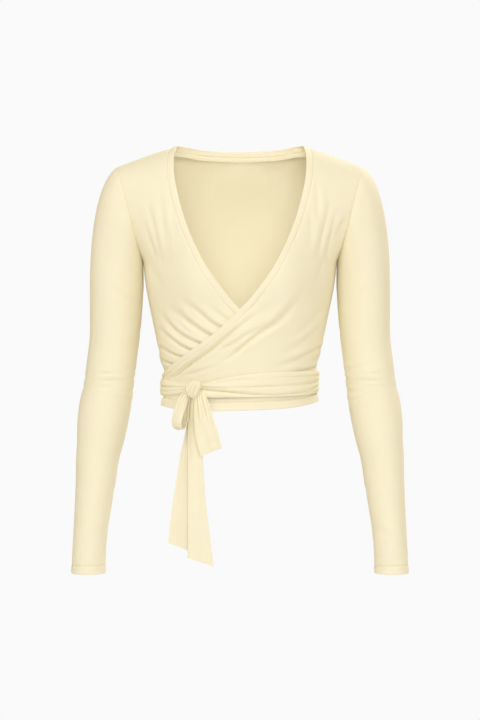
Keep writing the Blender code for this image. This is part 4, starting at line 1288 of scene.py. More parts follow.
# %% The binding of the back neck
BACK_SAG = 0.0045  # how far its free edge drops to its middle
CORNER_RISE = 0.0013  # how far it rises beside the shoulder seams
CORNER_TURN = 1.05  # where it rises most: a turn from the middle, in radians
CORNER_WIDE = 0.28  # and how wide a turn that takes
END_DROP = 0.7  # the share of its extra height that is lost right at the seams
EDGE_HIGH = 0.0008  # that extra height
EDGE_IN = 0.002  # from the depth of the neck to the free edge
LOW_OUT = 0.0015  # how much wider than the free edge the strip ends inside
LOW_OUT_MORE = 0.0035  # and how much more of that at the shoulder seams
LOW_DEEP = 0.0016  # how much further back it ends
START_OUT = 0.0022  # how much further out the hung part starts at the shoulder seams
GROOVE = 0.0011  # depth of the groove where it is sewn through inside
RIDGE = 0.0010  # height of the ridge below the groove
HUNG_STEPS = np.array([0, 0.2, 0.38, 0.45, 0.5, 0.55, 0.66, 0.84, 1])


def back_band(name, panel):
    """The binding of the back neck, from one shoulder seam to the other.

    Inside it doesn't go back to the seam but hangs level from the free edge, with a groove
    half way down where it is sewn through and a low ridge below that.
    """
    on_neck = np.abs(panel[-1, :, 0]) < NECK_X - 0.001
    seam = np.concatenate([under[-1, -1:], panel[-1, on_neck], over[-1, :1]])
    turn = np.arcsin(np.clip(seam[:, 0] / NECK_X, -1, 1))
    turn[0], turn[-1] = -math.pi / 2, math.pi / 2
    free_x = float(NECKLINE.at("free_x", 0.0))
    near_seam = np.exp(-(((np.abs(turn) - CORNER_TURN) / CORNER_WIDE) ** 2))
    level = shoulder_line(free_x) + NECK_STAND - BACK_SAG * np.cos(turn) ** 2
    level = level + EDGE_HIGH * (1 - END_DROP * np.abs(np.sin(turn)) ** 40)
    level = level + CORNER_RISE * near_seam
    deep = NECK_DEPTH - EDGE_IN
    edge = points(free_x * np.sin(turn), deep * np.cos(turn), level)
    at_end = np.abs(np.sin(turn)) ** 10
    low_x = (free_x + LOW_OUT + LOW_OUT_MORE * at_end) * np.sin(turn)
    low = points(low_x, (deep + LOW_DEEP) * np.cos(turn), level - BAND_INSIDE)
    out = unit(points(np.sin(turn), 1.2 * np.cos(turn) + 1e-9, 0.35))
    faces = surface_normals(panel, -1)[-1, on_neck]
    normal = unit(np.concatenate([out[:1], faces, out[-1:]]) + 0.6 * out)
    grid = band_section(seam, edge, normal)
    start = grid[:, -BAND_BACK] + points(START_OUT * at_end * np.sign(turn), 0.0, 0.0)
    hung = start[:, None] + (low - start)[:, None] * HUNG_STEPS[None, :, None]
    groove = GROOVE * np.exp(-(((HUNG_STEPS - 0.50) / 0.04) ** 2))
    ridge = RIDGE * np.exp(-(((HUNG_STEPS - 0.72) / 0.14) ** 2)) - groove
    level_in = -unit(points(np.sin(turn), np.cos(turn) + 1e-9, 0.0))
    grid[:, -BAND_BACK:] = hung + level_in[:, None] * ridge[None, :, None]
    return sheet_of(name, grid, 1, binding, thickness=BAND_CLOTH)


pieces["neckband_back"] = back_band("neckband_back_strip", back)

# %% [markdown]
# ## Ties
#
# A tie is a wide strip of jersey. Pulled round the waist, it crumples into a few strands that
# run together into the knot. Its folds are placed in the same way as those of the body, seen
# from the front or from the back, and its long edges roll down on to the cloth below.

# %% Ties round the waist
TIE_COLUMNS = "angle middle half_height lift"
TIE_OVER_FRONT = Table(
    TIE_COLUMNS,
    (-32.0, -0.3650, 0.0078, 0.0034),
    (-26.0, -0.3648, 0.0100, 0.0038),
    (-8.0, -0.3607, 0.0142, 0.0034),
    (15.0, -0.3573, 0.0170, 0.0030),
    (45.0, -0.3558, 0.0172, 0.0028),
    (70.0, -0.3540, 0.0164, 0.0026),
    (90.0, -0.3530, 0.0158, 0.0028),
)
TIE_OVER_BACK = Table(
    TIE_COLUMNS,
    (90.0, -0.3530, 0.0158, 0.0028),
    (105.0, -0.3545, 0.0130, 0.0032),
    (120.0, -0.3590, 0.0105, 0.0034),
    (138.0, -0.3640, 0.0092, 0.0015),
    (180.0, -0.3660, 0.0090, 0.0012),
    (225.0, -0.3645, 0.0090, 0.0013),
    (255.0, -0.3600, 0.0095, 0.0010),
    (271.4, -0.3590, 0.0100, 0.0008),
)
TIE_UNDER_BACK = Table(
    TIE_COLUMNS,
    (90.3, -0.3470, 0.0080, 0.0007),
    (105.0, -0.3455, 0.0080, 0.0008),
    (130.0, -0.3420, 0.0080, 0.0012),
    (180.0, -0.3420, 0.0085, 0.0012),
    (214.0, -0.3422, 0.0088, 0.0014),
    (228.0, -0.3440, 0.0090, 0.0036),
    (240.0, -0.3490, 0.0100, 0.0042),
    (255.0, -0.3560, 0.0110, 0.0042),
    (270.0, -0.3610, 0.0120, 0.0040),
)
TIE_UNDER_SIDE = Table(
    TIE_COLUMNS,
    (270.0, -0.3610, 0.0120, 0.0040),
    (290.0, -0.3620, 0.0105, 0.0036),
    (312.0, -0.3636, 0.0072, 0.0034),
    (327.2, -0.3640, 0.0056, 0.0034),
)
TIE_FRONT_FOLDS = Table(
    FOLD_COLUMNS,
    (1, -56, -359, 1.6, 1.7, 0.2),
    (1, -36, -361, 1.9, 1.9, 0.2),
    (1, 4, -361, 2.0, 2.3, 0.4),
    (1, 55, -359, 1.7, 2.6, 0.7),
    (1, 88, -357, 1.6, 2.4, 0.6),
    (1, 115, -352, 1.8, 2.0, 0.4),
    (2, -58, -362, 3.4, 2.6, 0.6),
    (2, -44, -365, 4.6, 3.6, 0.8),
    (2, -22, -367, 4.6, 3.4, 0.6),
    (2, 6, -370, 4.2, 3.0, 0.4),
    (2, 38, -372, 3.0, 2.8, 0.3),
    (2, 66, -371, 2.8, 2.6, 0.3),
    (2, 98, -366, 2.6, 2.4, 0.3),
    (2, 115, -358, 2.4, 2.0, 0.3),
    (3, -54, -356, 0.6, 1.4, 0.4),
    (3, -30, -353, 1.2, 1.8, 0.5),
    (3, 0, -350, 1.0, 2.2, 0.8),
    (3, 32, -349, 0.0, 3.0, 2.0),
    (4, 44, -346, 0.0, 2.0, 0.8),
    (4, 76, -346, 0.9, 2.0, 0.8),
    (4, 114, -344, 1.3, 1.8, 0.5),
    (5, 26, -356, 0.0, 2.0, 1.0),
    (5, 56, -354, 0.6, 2.2, 1.0),
    (5, 84, -351, 0.0, 2.4, 1.2),
    (6, -2, -365, 0.0, 2.0, 0.8),
    (6, 24, -366, 0.8, 2.0, 0.8),
    (6, 54, -366, 0.9, 2.0, 0.8),
    (6, 80, -363, 0.0, 2.4, 1.2),
    (7, 82, -371, 0.0, 1.6, 0.4),
    (7, 100, -369, 1.6, 1.8, 0.3),
    (7, 115, -366, 1.9, 1.8, 0.3),
    (8, -50, -371, 0.6, 1.4, 0.4),
    (8, -28, -373, 0.9, 1.6, 0.5),
    (8, -4, -374, 0.0, 2.0, 1.0),
    (11, -116, -360, 1.8, 2.2, 0.3),
    (11, -100, -361, 1.9, 2.2, 0.3),
    (11, -78, -360, 1.6, 1.6, 0.2),
    (12, -116, -368, 0.7, 2.4, 0.8),
    (12, -98, -367, 0.9, 2.0, 0.6),
    (12, -80, -364, 1.3, 1.4, 0.3),
    (13, -108, -354, 0.0, 1.8, 0.8),
    (13, -96, -355, 0.8, 1.8, 0.5),
    (13, -84, -358, 1.0, 1.2, 0.3),
)
TIE_BACK_FOLDS = Table(
    FOLD_COLUMNS,
    (1, 114, -352, 1.8, 2.0, 0.4),
    (1, 92, -357, 1.6, 2.2, 0.4),
    (1, 60, -363, 1.4, 2.4, 0.5),
    (1, 18, -367, 1.6, 2.2, 0.4),
    (1, -30, -366, 1.2, 2.4, 0.6),
    (1, -78, -364, 1.5, 2.2, 0.4),
    (1, -112, -360, 1.6, 2.0, 0.4),
    (2, 114, -345, 1.2, 1.8, 0.5),
    (2, 98, -350, 1.0, 2.0, 0.6),
    (2, 76, -358, 0.0, 2.2, 1.0),
    (3, 48, -361, 0.0, 1.8, 0.8),
    (3, 4, -361, 0.8, 2.0, 0.8),
    (3, -44, -361, 0.0, 2.2, 1.0),
    (4, -56, -370, 0.0, 1.8, 0.8),
    (4, -86, -367, 1.0, 1.8, 0.6),
    (4, -114, -363, 1.1, 1.8, 0.5),
    (5, 113, -347, 1.2, 2.0, 0.5),
    (5, 84, -344, 1.4, 2.2, 0.5),
    (5, 40, -341, 1.1, 2.4, 0.7),
    (5, 0, -342, 1.5, 2.2, 0.4),
    (5, -42, -342, 1.2, 2.4, 0.6),
    (5, -78, -345, 1.5, 2.2, 0.5),
    (5, -100, -352, 1.6, 2.2, 0.4),
    (5, -114, -359, 1.7, 2.2, 0.4),
    (6, 64, -338, 0.0, 1.6, 0.8),
    (6, 22, -338, 0.7, 1.8, 0.8),
    (6, -18, -338, 0.0, 2.0, 1.0),
    (7, -64, -348, 0.0, 1.8, 0.8),
    (7, -94, -356, 1.0, 2.0, 0.6),
    (7, -114, -366, 1.2, 2.2, 0.5),
    (8, 116, -359, 1.6, 2.0, 0.4),
    (8, 98, -361, 1.0, 2.0, 0.6),
    (8, 74, -366, 0.0, 2.2, 1.0),
)


TIE_BODY = 0.0013  # how far a tie stands over the lift in its table
TIE_LEAST = 0.0012  # its outer face is never nearer the cloth than this
TIE_ACROSS = 41  # places across a tie


def around(angle, z, lift):
    """Points round the waist at angles from the middle of the front, a lift off the form."""
    width = TORSO.at("half_width", z)
    front = np.cos(angle) >= 0
    depth = np.where(front, TORSO.at("front", z), TORSO.at("back", z))
    out = unit(points(np.sin(angle) / width, -np.cos(angle) / depth, 0.0))
    y = -depth * np.cos(angle) - np.where(front, bust(width * np.sin(angle), z), 0.0)
    return points(width * np.sin(angle), y, z) + out * np.expand_dims(lift, -1)


def tie(name, table, steps, fold_table, on_front):
    """A folded strip round the waist, whose long edges fall like the end of an ellipse.

    Its middle stands as high as the table's lift and its own body, less its folds. The blend
    down to its edges is the root of 1 less the share of the half height to a power, which
    is lower in the lower half, so that half falls sooner.
    """
    degrees = np.linspace(table.rows[0, 0], table.rows[-1, 0], steps)[:, None]
    share = np.sin(np.linspace(-1, 1, TIE_ACROSS) * math.pi / 2)[None, :]
    size = table.all_at(degrees)
    z = size["middle"] + size["half_height"] * share
    angle = np.broadcast_to(np.radians(degrees), z.shape)
    under = layer_lift(angle, z, True) if on_front else 0.0
    flat = around(angle, z, 0 * z)
    folds = creases(fold_table, flat[..., 0], z)
    rolled = (1 - np.abs(share) ** np.where(share < 0, 3.5, 7.0)) ** 0.5
    top = size["lift"] + TIE_BODY + folds
    lowest = 0.0003 + 0.35 * size["lift"]
    lift = under + np.maximum(top * rolled, 0) + lowest * (1 - rolled)
    grid = around(angle, z, np.maximum(lift, under + TIE_LEAST))
    return sheet_of(name, grid, 1, jersey)


pieces["tie_over_front"] = tie("tie_over_front_strip", TIE_OVER_FRONT, 180, TIE_FRONT_FOLDS, True)
pieces["tie_over_back"] = tie("tie_over_back_strip", TIE_OVER_BACK, 170, TIE_BACK_FOLDS, False)
pieces["tie_under_back"] = tie("tie_under_back_strip", TIE_UNDER_BACK, 170, TIE_BACK_FOLDS, False)
pieces["tie_under_side"] = tie("tie_under_side_strip", TIE_UNDER_SIDE, 70, TIE_FRONT_FOLDS, False)

# %% [markdown]
# ## Knot and half bow
#
# The two ties meet in a small hard knot: a strand wraps down over it, wide at the top and
# drawn in at the bottom. A loop falls to one side and two ends hang down, gathered where they
# leave the knot and flat where they end.

# %% Knot
KNOT_X = -0.0618
KNOT_Z = -0.3640
KNOT_LIFT = 0.0078
KNOT_HALF_DEPTH = 0.0085
KNOT_HALF_HEIGHT = 0.0140
KNOT_BACK = 0.62  # its back is cut flat at this share of its depth
KNOT_OUT = 0.64  # from the waist to its middle, in half depths over its lift
CREASE_BOW = 0.16  # how far its creases bow half way down, in half widths
CREASE_LEAN = 0.10
KNOT_PLACES = 176  # places round a ring
KNOT_RINGS = 72
HANG = 0.0010  # from the back of the knot to the loop and the tails
KNOT_SHAPE = Table(
    "rise half_width shift depth",
    (-1.00, 0.0012, 0.0000, 0.16),
    (-0.92, 0.0027, -0.0003, 0.46),
    (-0.75, 0.0048, -0.0006, 0.76),
    (-0.45, 0.0080, -0.0010, 0.98),
    (0.00, 0.0108, -0.0008, 1.08),
    (0.35, 0.0119, 0.0002, 1.04),
    (0.62, 0.0117, 0.0010, 0.90),
    (0.80, 0.0103, 0.0015, 0.70),
    (0.92, 0.0076, 0.0018, 0.46),
    (1.00, 0.0034, 0.0020, 0.16),
)


def knot_frame():
    """The place on the waist under the knot, and the directions along and out of it."""
    angle = np.array(math.asin(KNOT_X / float(TORSO.at("half_width", KNOT_Z))))
    base = around(angle, np.array(KNOT_Z), np.array(0.0))
    out = around(angle, np.array(KNOT_Z), np.array(1.0)) - base
    return base, np.array([-out[1], out[0], 0.0]), out


def gather_dip(off, reach, blunt=0.35):
    """A gather's trough: e to the power of minus the blunted distance, in reaches."""
    return np.exp(-(np.sqrt((off / reach) ** 2 + blunt**2) - blunt))


KNOT_CREASES = (
    (-0.70, 0.0011, 0.050, 0.5),
    (-0.38, 0.0022, 0.065, 1.3),
    (-0.12, 0.0010, 0.045, 0.2),
    (0.16, 0.0024, 0.070, 1.2),
    (0.45, 0.0012, 0.050, 0.0),
    (0.66, 0.0028, 0.070, 1.4),
)  # share of the half width, depth, reach, and the rise at which each crease starts


def knot(name):
    """A wrapped strand: level rings from a table, creased along lines that draw together.

    A point's share of the half width stays the same down a crease, so the creases follow
    the outline; they bow to one side halfway down, as the strand sweeps round.
    """
    base, along, out = knot_frame()
    turn = np.linspace(0, 2 * math.pi, KNOT_PLACES, endpoint=False)[None, :]
    rise = np.sin(np.linspace(-1, 1, KNOT_RINGS) * math.pi / 2)[:, None]
    size = KNOT_SHAPE.all_at(rise)
    share = np.cos(turn)
    bowed = share + CREASE_BOW * (1 - rise**2) - CREASE_LEAN * rise
    dents = sum(
        deep * gather_dip(bowed - line, reach) * smooth((top - rise) / 0.5)
        for line, deep, reach, top in KNOT_CREASES
    )
    facing = smooth((np.sin(turn) + 0.2) / 0.5)
    deep = np.sign(np.sin(turn)) * np.abs(np.sin(turn)) ** 0.8
    deep = np.maximum(deep, -KNOT_BACK) * size["depth"] * KNOT_HALF_DEPTH
    deep = deep - dents * facing * smooth((1 - np.abs(rise)) / 0.20)
    middle = base + out * (KNOT_LIFT + KNOT_HALF_DEPTH * KNOT_OUT)
    grid = middle + along * (size["half_width"] * share + size["shift"])[..., None]
    grid = grid + out * deep[..., None]
    grid = grid + np.array([0, 0, 1.0]) * (rise * KNOT_HALF_HEIGHT)[..., None]
    return capped_tube(name, grid, jersey)


pieces["knot"] = knot("knot_wrap")

# %% Loop and tails
BOW_LOOP = Table(
    "step far_x far_z far_out near_x near_z near_out",
    (0.00, -0.0775, -0.3675, 0.0030, -0.0745, -0.3735, 0.0040),
    (0.10, -0.0850, -0.3705, 0.0035, -0.0750, -0.3790, 0.0085),
    (0.25, -0.0925, -0.3850, 0.0035, -0.0768, -0.3870, 0.0125),
    (0.40, -0.0978, -0.4010, 0.0030, -0.0812, -0.4010, 0.0130),
    (0.52, -0.0990, -0.4130, 0.0025, -0.0842, -0.4130, 0.0125),
    (0.59, -0.0972, -0.4190, 0.0005, -0.0848, -0.4190, 0.0110),
    (0.65, -0.0925, -0.4222, -0.0025, -0.0828, -0.4215, 0.0085),
    (0.71, -0.0870, -0.4215, -0.0050, -0.0796, -0.4190, 0.0060),
    (0.80, -0.0850, -0.4080, -0.0065, -0.0764, -0.4050, 0.0040),
    (0.90, -0.0820, -0.3890, -0.0060, -0.0750, -0.3870, 0.0030),
    (1.00, -0.0780, -0.3740, -0.0030, -0.0738, -0.3750, 0.0025),
)
TAIL_SHORT = Table(
    "step left_x left_z right_x right_z out",
    (0.00, -0.0650, -0.3745, -0.0540, -0.3640, 0.0012),
    (0.12, -0.0664, -0.3835, -0.0490, -0.3735, 0.0062),
    (0.35, -0.0665, -0.4050, -0.0418, -0.3930, 0.0092),
    (0.70, -0.0644, -0.4340, -0.0322, -0.4270, 0.0086),
    (1.00, -0.0574, -0.4612, -0.0262, -0.4489, 0.0080),
)
TAIL_LONG = Table(
    "step left_x left_z fold_x fold_z right_x right_z out",
    (0.00, -0.0745, -0.3760, -0.0710, -0.3760, -0.0650, -0.3760, 0.0008),
    (0.12, -0.0768, -0.4080, -0.0733, -0.4080, -0.0600, -0.4080, -0.0020),
    (0.36, -0.0872, -0.4600, -0.0742, -0.4640, -0.0544, -0.4640, -0.0005),
    (0.64, -0.0974, -0.5230, -0.0741, -0.5300, -0.0494, -0.5300, 0.0000),
    (1.00, -0.1050, -0.5885, -0.0738, -0.6100, -0.0379, -0.6230, 0.0010),
)


LOOP_GATHERS = ((0.20, 0.0042), (0.48, 0.0034), (0.74, 0.0050))  # share across and depth
STRIP_STEPS = 110  # places down the loop and the short tail
LOOP_ACROSS = 37
TAIL_ACROSS = 64
LOOP_BELLY = 0.0022  # how far the front of the loop swells
LOOP_LIP = 0.0009  # how far its near edge curls to the side


def hang(x, z, out):
    """Points in front of the knot's back: across and down as seen from the front."""
    base, _, _ = knot_frame()
    return points(x, base[1] - KNOT_LIFT - HANG - out, z)


def strip(name, middle, material, thickness=CLOTH):
    """A shell centred on a grid of points."""
    normal = surface_normals(middle, 1)
    half = thickness / 2
    return shell(name, middle + normal * half, middle - normal * half, material)


def between(size, share, near, far):
    """Points on straight lines from one edge to the other, at shares of the way."""
    x = size[near + "_x"] + (size[far + "_x"] - size[near + "_x"]) * share
    z = size[near + "_z"] + (size[far + "_z"] - size[near + "_z"]) * share
    return x, z


def loop(name):
    """A strip that falls from the knot, turns round at the bottom and comes back up behind.

    Its far edge is the outline and its near edge faces the front, so the loop stands open
    to the side. Gathers leave the knot at both ends of the strip, and both edges curl out.
    """
    steps = np.linspace(0, 1, STRIP_STEPS)[:, None]
    share = np.linspace(0, 1, LOOP_ACROSS)[None, :]
    size = BOW_LOOP.all_at(steps)
    x, z = between(size, share, "far", "near")
    out = size["far_out"] + (size["near_out"] - size["far_out"]) * share
    knot_end = 1 - smooth((np.minimum(steps, 1 - steps) - 0.08) / 0.42)
    gather = 0 * x
    for line, depth in LOOP_GATHERS:
        gather = gather - depth * gather_dip(share - line, 0.075 + 0.06 * steps)
    belly = LOOP_BELLY * np.sin(math.pi * share) * smooth(steps / 0.2)
    belly = belly * (1 - smooth((steps - 0.45) / 0.2))
    lip = LOOP_LIP * smooth((share - 0.86) / 0.14) * (1 - 2 * smooth((steps - 0.48) / 0.20))
    return strip(name, hang(x - lip, z, out + gather * knot_end + belly), jersey)


SHORT_GATHERS = (
    (0.07, 0.0018, 0.60),
    (0.24, 0.0040, 0.95),
    (0.45, 0.0026, 0.65),
    (0.64, 0.0048, 1.25),
    (0.86, 0.0032, 0.90),
)  # share across, depth, and the step by which each gather has run out
GATHER_REACH = 0.046  # width of the gathers at the knot, as a share of the strip
GATHER_SPREAD = 0.034  # and how much wider they are at the end
GATHER_DRIFT = 0.05  # how far they wander across on the way
SLOW_WAVE = 0.0019  # height of the slow waves
SLOW_COUNT = 1.25  # how many slow waves lie across the end
TAIL_HEM = 0.0003  # how much its hem stands out, and how deep its stitching sinks
TAIL_OUT = 0.0006  # how far it lies over the table's line


def short_tail(name):
    """The end that hangs open in front: deep gathers that run out into slow waves.

    Near its lower edge it is a hair thicker below a dent, where its hem is sewn.
    """
    steps = np.linspace(0, 1, STRIP_STEPS)[:, None]
    share = np.linspace(0, 1, TAIL_ACROSS)[None, :]
    size = TAIL_SHORT.all_at(steps)
    x, z = between(size, share, "left", "right")
    fade = np.clip(steps / 0.10, 0.4, 1) * (1 - smooth((steps - 0.10) / 0.80))
    reach = GATHER_REACH + GATHER_SPREAD * steps
    gather = 0 * x
    for line, depth, lasts in SHORT_GATHERS:
        strength = fade * (1 - smooth((steps - lasts + 0.3) / 0.5))
        off = share - line - GATHER_DRIFT * steps
        gather = gather - depth * strength * gather_dip(off, reach)
    slow = SLOW_WAVE * np.cos(2 * math.pi * SLOW_COUNT * share + 0.8) * smooth(steps / 0.3)
    end = TAIL_HEM * smooth((steps - 0.845) / 0.02)
    end = end - TAIL_HEM * np.exp(-(((steps - 0.855) / 0.012) ** 2))
    return strip(name, hang(x, z, size["out"] + TAIL_OUT + gather + slow + end), jersey)


LONG_STEPS = 130
LONG_TURN = 0.0020  # radius of its two lengthwise folds
LONG_LAP = 0.009  # how far the two folds lie apart
LONG_OPEN = 0.36  # the step by which those folds are that far apart
FOLD_END = 0.010  # how much higher than the fold the left part ends beside it
LONG_WAVE_OUT = 0.0012  # height of its slow waves
RIGHT_GATHERS = ((0.10, 0.0020), (0.24, 0.0030), (0.42, 0.0018))  # share across and depth
LEFT_GATHERS = ((0.30, 0.0016), (0.62, 0.0026), (0.85, 0.0014))


def long_tail(name):
    """The end that is folded along its length: a left part behind, a right part in front.

    Across, it runs right on the left part, round a half circle, back a little way, round
    another half circle and right again on the right part: a flat letter Z from below.
    """
    steps = np.linspace(0, 1, LONG_STEPS)[:, None]
    size = TAIL_LONG.all_at(steps)
    turn = LONG_TURN
    opened = np.clip(steps / LONG_OPEN, 0.25, 1)
    left = np.linspace(0, 1, 24)[None, :]
    bend = np.linspace(-90, 90, 11)[None, 1:-1] * math.pi / 180
    right = np.linspace(0, 1, 34)[None, :]
    tuck = np.linspace(1, 0, 8)[None, :]
    near_x = size["fold_x"]
    far_x = near_x + LONG_LAP * opened
    across = [
        size["left_x"] + (far_x - size["left_x"]) * left,
        far_x + turn * np.cos(bend),
        near_x + (far_x - near_x) * tuck,
        near_x - turn * np.cos(bend),
        near_x + (size["right_x"] - near_x) * right,
    ]
    deep = -4 * turn
    flat = 0 * steps
    depths = [
        deep + 0 * left + flat,
        deep + turn + turn * np.sin(bend) + flat,
        deep + 2 * turn + 0 * tuck + flat,
        deep + 3 * turn + turn * np.sin(bend) + flat,
        0 * right + flat,
    ]
    x = np.concatenate(across, axis=1)
    out = np.concatenate(depths, axis=1)
    low = np.clip((x - size["left_x"]) / (size["fold_x"] - size["left_x"]), 0, 1)
    far = np.clip((x - size["fold_x"]) / (size["right_x"] - size["fold_x"]), 0, 1)
    behind = np.arange(x.shape[1])[None, :] < left.shape[1] + bend.shape[1]
    back_z = size["left_z"] + (size["fold_z"] + FOLD_END - size["left_z"]) * low * opened
    front_z = size["fold_z"] + (size["right_z"] - size["fold_z"]) * far
    wave = LONG_WAVE_OUT * np.sin(9 * steps + 2.5 * far)
    pull = 1 - smooth(steps / 0.60)
    for line, depth in RIGHT_GATHERS:
        wave = wave - pull * depth * gather_dip(far - line, 0.06) * (far > 0)
    for line, depth in LEFT_GATHERS:
        wave = wave - pull * depth * gather_dip(low - line, 0.07) * (low < 1)
    wave = wave + 0.0006 * np.cos(7 * far - 2 * steps) * smooth((steps - 0.3) / 0.3)
    z = np.where(behind, back_z, front_z)
    return strip(name, hang(x, z, size["out"] + out + wave), jersey)


pieces["bow_loop"] = loop("bow_loop_strip")
pieces["tail_short"] = short_tail("tail_short_strip")
pieces["tail_long"] = long_tail("tail_long_strip")
print("pieces:", len(pieces), "triangles:", sum(triangles(p) for p in pieces.values()))

# %% [markdown]
# ## Stitches
#
# The hem and the cuffs are sewn down with two rows of stitches. A stitch is a short rounded
# thread, and there are many, so each piece has one mesh of them: the same small shape is placed
# along its paths by arrays, not one object at a time.

# %% Rows of stitches
STITCH_LENGTH = 0.0023
STITCH_PITCH = 0.0031
STITCH_RADIUS = 0.00021
STITCH_SIDES = 6
STITCH_RINGS = np.array([-0.5, -0.36, 0.36, 0.5])  # places along it, in stitch lengths
STITCH_ROUND = np.array([0.3, 1.0, 1.0, 0.3])  # radius there, in stitch radii
STITCH_LIFT = 0.00005  # how far a stitch's middle line lies over the cloth
HEM_STITCHES = (0.0076, 0.0098)  # heights of the two rows over the lower edge


def thread_material(name):
    """Sewing thread: the cloth's colour a little lighter, with fine flecks and more sheen."""
    material, tree, shader = new_material(name)
    cloud = dyed(tree, patches=300.0, flecks=2500.0)
    colour = colour_mix(tree, cloud.outputs["Cloud"], BUTTER, BUTTER_LIGHT)
    tree.links.new(colour, shader.inputs["Base Color"])
    add_bump(tree, shader, cloud.outputs["Fleck"], strength=0.4, distance=0.00005)
    shader.inputs["Roughness"].default_value = 0.55
    shader.inputs["Sheen Weight"].default_value = 0.15
    return material


thread = thread_material("Sewing thread")


def stitched(name, rows):
    """One mesh of stitches along rows of (path, normals): a capsule every pitch of the path.

    A capsule is four rings of six points: along the thread, and radius times cosine and sine
    across it, with small rings at its ends.
    """
    reach = (STITCH_RINGS * STITCH_LENGTH)[None, :, None, None]
    radius = (STITCH_RADIUS * STITCH_ROUND)[None, :, None, None]
    turn = np.linspace(0, 2 * math.pi, STITCH_SIDES, endpoint=False)
    found = []
    for path, normal in rows:
        length = np.concatenate([[0], np.cumsum(np.linalg.norm(np.diff(path, axis=0), axis=1))])
        places = np.arange(STITCH_PITCH, length[-1] - STITCH_PITCH, STITCH_PITCH)

        def at(values, where):
            return np.stack([np.interp(where, length, values[:, i]) for i in range(3)], axis=-1)

        centre = at(path, places)
        along = unit(at(path, places + 0.0008) - at(path, places - 0.0008))
        up = unit(at(normal, places))
        side = unit(np.cross(along, up))
        around_ring = up[:, None, None] * np.cos(turn)[None, None, :, None]
        around_ring = around_ring + side[:, None, None] * np.sin(turn)[None, None, :, None]
        stitch = centre[:, None, None] + along[:, None, None] * reach
        found.append(stitch + around_ring * radius)
    vertices = np.concatenate(found)
    corner = numbered(vertices.shape[:3], True)
    ends = corner[:, 0, :-1][:, ::-1].tolist() + corner[:, -1, :-1].tolist()
    mesh = bpy.data.meshes.new(name)
    mesh.from_pydata(vertices.reshape(-1, 3).tolist(), [], cells(corner).tolist() + ends)
    mesh.flip_normals()
    mesh.materials.append(thread)
    mesh.shade_smooth()
    return placed(name, mesh)


def level_row(grid, side, height):
    """A path across a panel at a height over its lower edge, and the normals there."""
    up = grid[:, :, 2] - grid[:1, :, 2]
    normal = surface_normals(grid, side)
    low = np.sum(up < height, axis=0) - 1
    pick = np.arange(grid.shape[1])
    t = ((height - up[low, pick]) / (up[low + 1, pick] - up[low, pick]))[:, None]
    path = grid[low, pick] * (1 - t) + grid[low + 1, pick] * t
    out = normal[low, pick]
    return (path + out * STITCH_LIFT)[1:-1], out[1:-1]


def ring_row(grid, side, row):
    """A closed path round a cuff at one of its rows, and the normals there."""
    out = surface_normals(grid, side, ring=True)[row]
    path = grid[row] + out * STITCH_LIFT
    return np.concatenate([path, path[:2]]), np.concatenate([out, out[:2]])


sewn = {}
for node, grid, side in (("front_over", over, 1), ("front_under", under, 1), ("back", back, -1)):
    rows = [level_row(grid, side, height) for height in HEM_STITCHES]
    sewn[node] = stitched(node + "_stitches", rows)
for node, grid, side in (("cuff_left", left_cuff, -1), ("cuff_right", right_cuff, 1)):
    rows = [ring_row(grid, side, ring) for ring in CUFF_STITCH_RINGS]
    sewn[node] = stitched(node + "_stitches", rows)
print("stitch triangles:", sum(triangles(p) for p in sewn.values()))

# %% [markdown]
# ## Floor, light and camera
#
# The top is lit like a catalogue picture: two large soft lights, one in front and one above,
# weaker ones at the sides to lift the shadows, one behind for the back, and a pale surround.
# Between two walls of cloth, light bounces many times. A small warm lamp inside the neck, which
# the camera doesn't see, stands for what those bounces would add. The camera stands level,
# three metres away, with a long lens that keeps the sleeves from spreading.

# %% Stage
FLOOR_Z = -1.25
FLOOR_RADIUS = 1.3
LAMP = (0.920, 0.962, 1.0)
INSIDE_LAMP = (1.0, 0.965, 0.82)
SEEN = (0.955, 0.955, 0.955)  # the surround's colour in the picture
GIVEN = (0.503, 0.442, 0.342)  # its light on the cloth


def flat_disc(name, radius, level, rings, spokes, material):
    """A disc of rings and spokes: x is the ring's radius times cosine, y times sine."""
    turn = np.linspace(0, 2 * math.pi, spokes, endpoint=False)[None, :]
    far = np.linspace(0.02, 1, rings)[:, None] * radius
    grid = points(far * np.cos(turn), far * np.sin(turn), level)
    quads = cells(numbered((rings, spokes), True))[:, ::-1]
    mesh = bpy.data.meshes.new(name)
    middle = [list(range(spokes))]
    mesh.from_pydata(grid.reshape(-1, 3).tolist(), [], quads.tolist() + middle)
    mesh.materials.append(material)
    return placed(name, mesh)


paper, _, paper_shader = new_material("Pale floor")
paper_shader.inputs["Base Color"].default_value = (0.88, 0.88, 0.87, 1)
paper_shader.inputs["Roughness"].default_value = 0.9
floor = flat_disc("floor", FLOOR_RADIUS, FLOOR_Z, 8, 64, paper)


def soft_light(name, place, target, size, power):
    """A square area light that looks at a point."""
    data = bpy.data.lights.new(name, "AREA")
    data.size = size
    data.energy = power
    data.color = LAMP
    lamp = placed(name, data)
    lamp.location = place
    aim = np.array(target) - np.array(place)
    flat = math.hypot(aim[0], aim[1])
    lamp.rotation_euler = (math.atan2(flat, -aim[2]), 0.0, math.atan2(-aim[0], aim[1]))
    return lamp


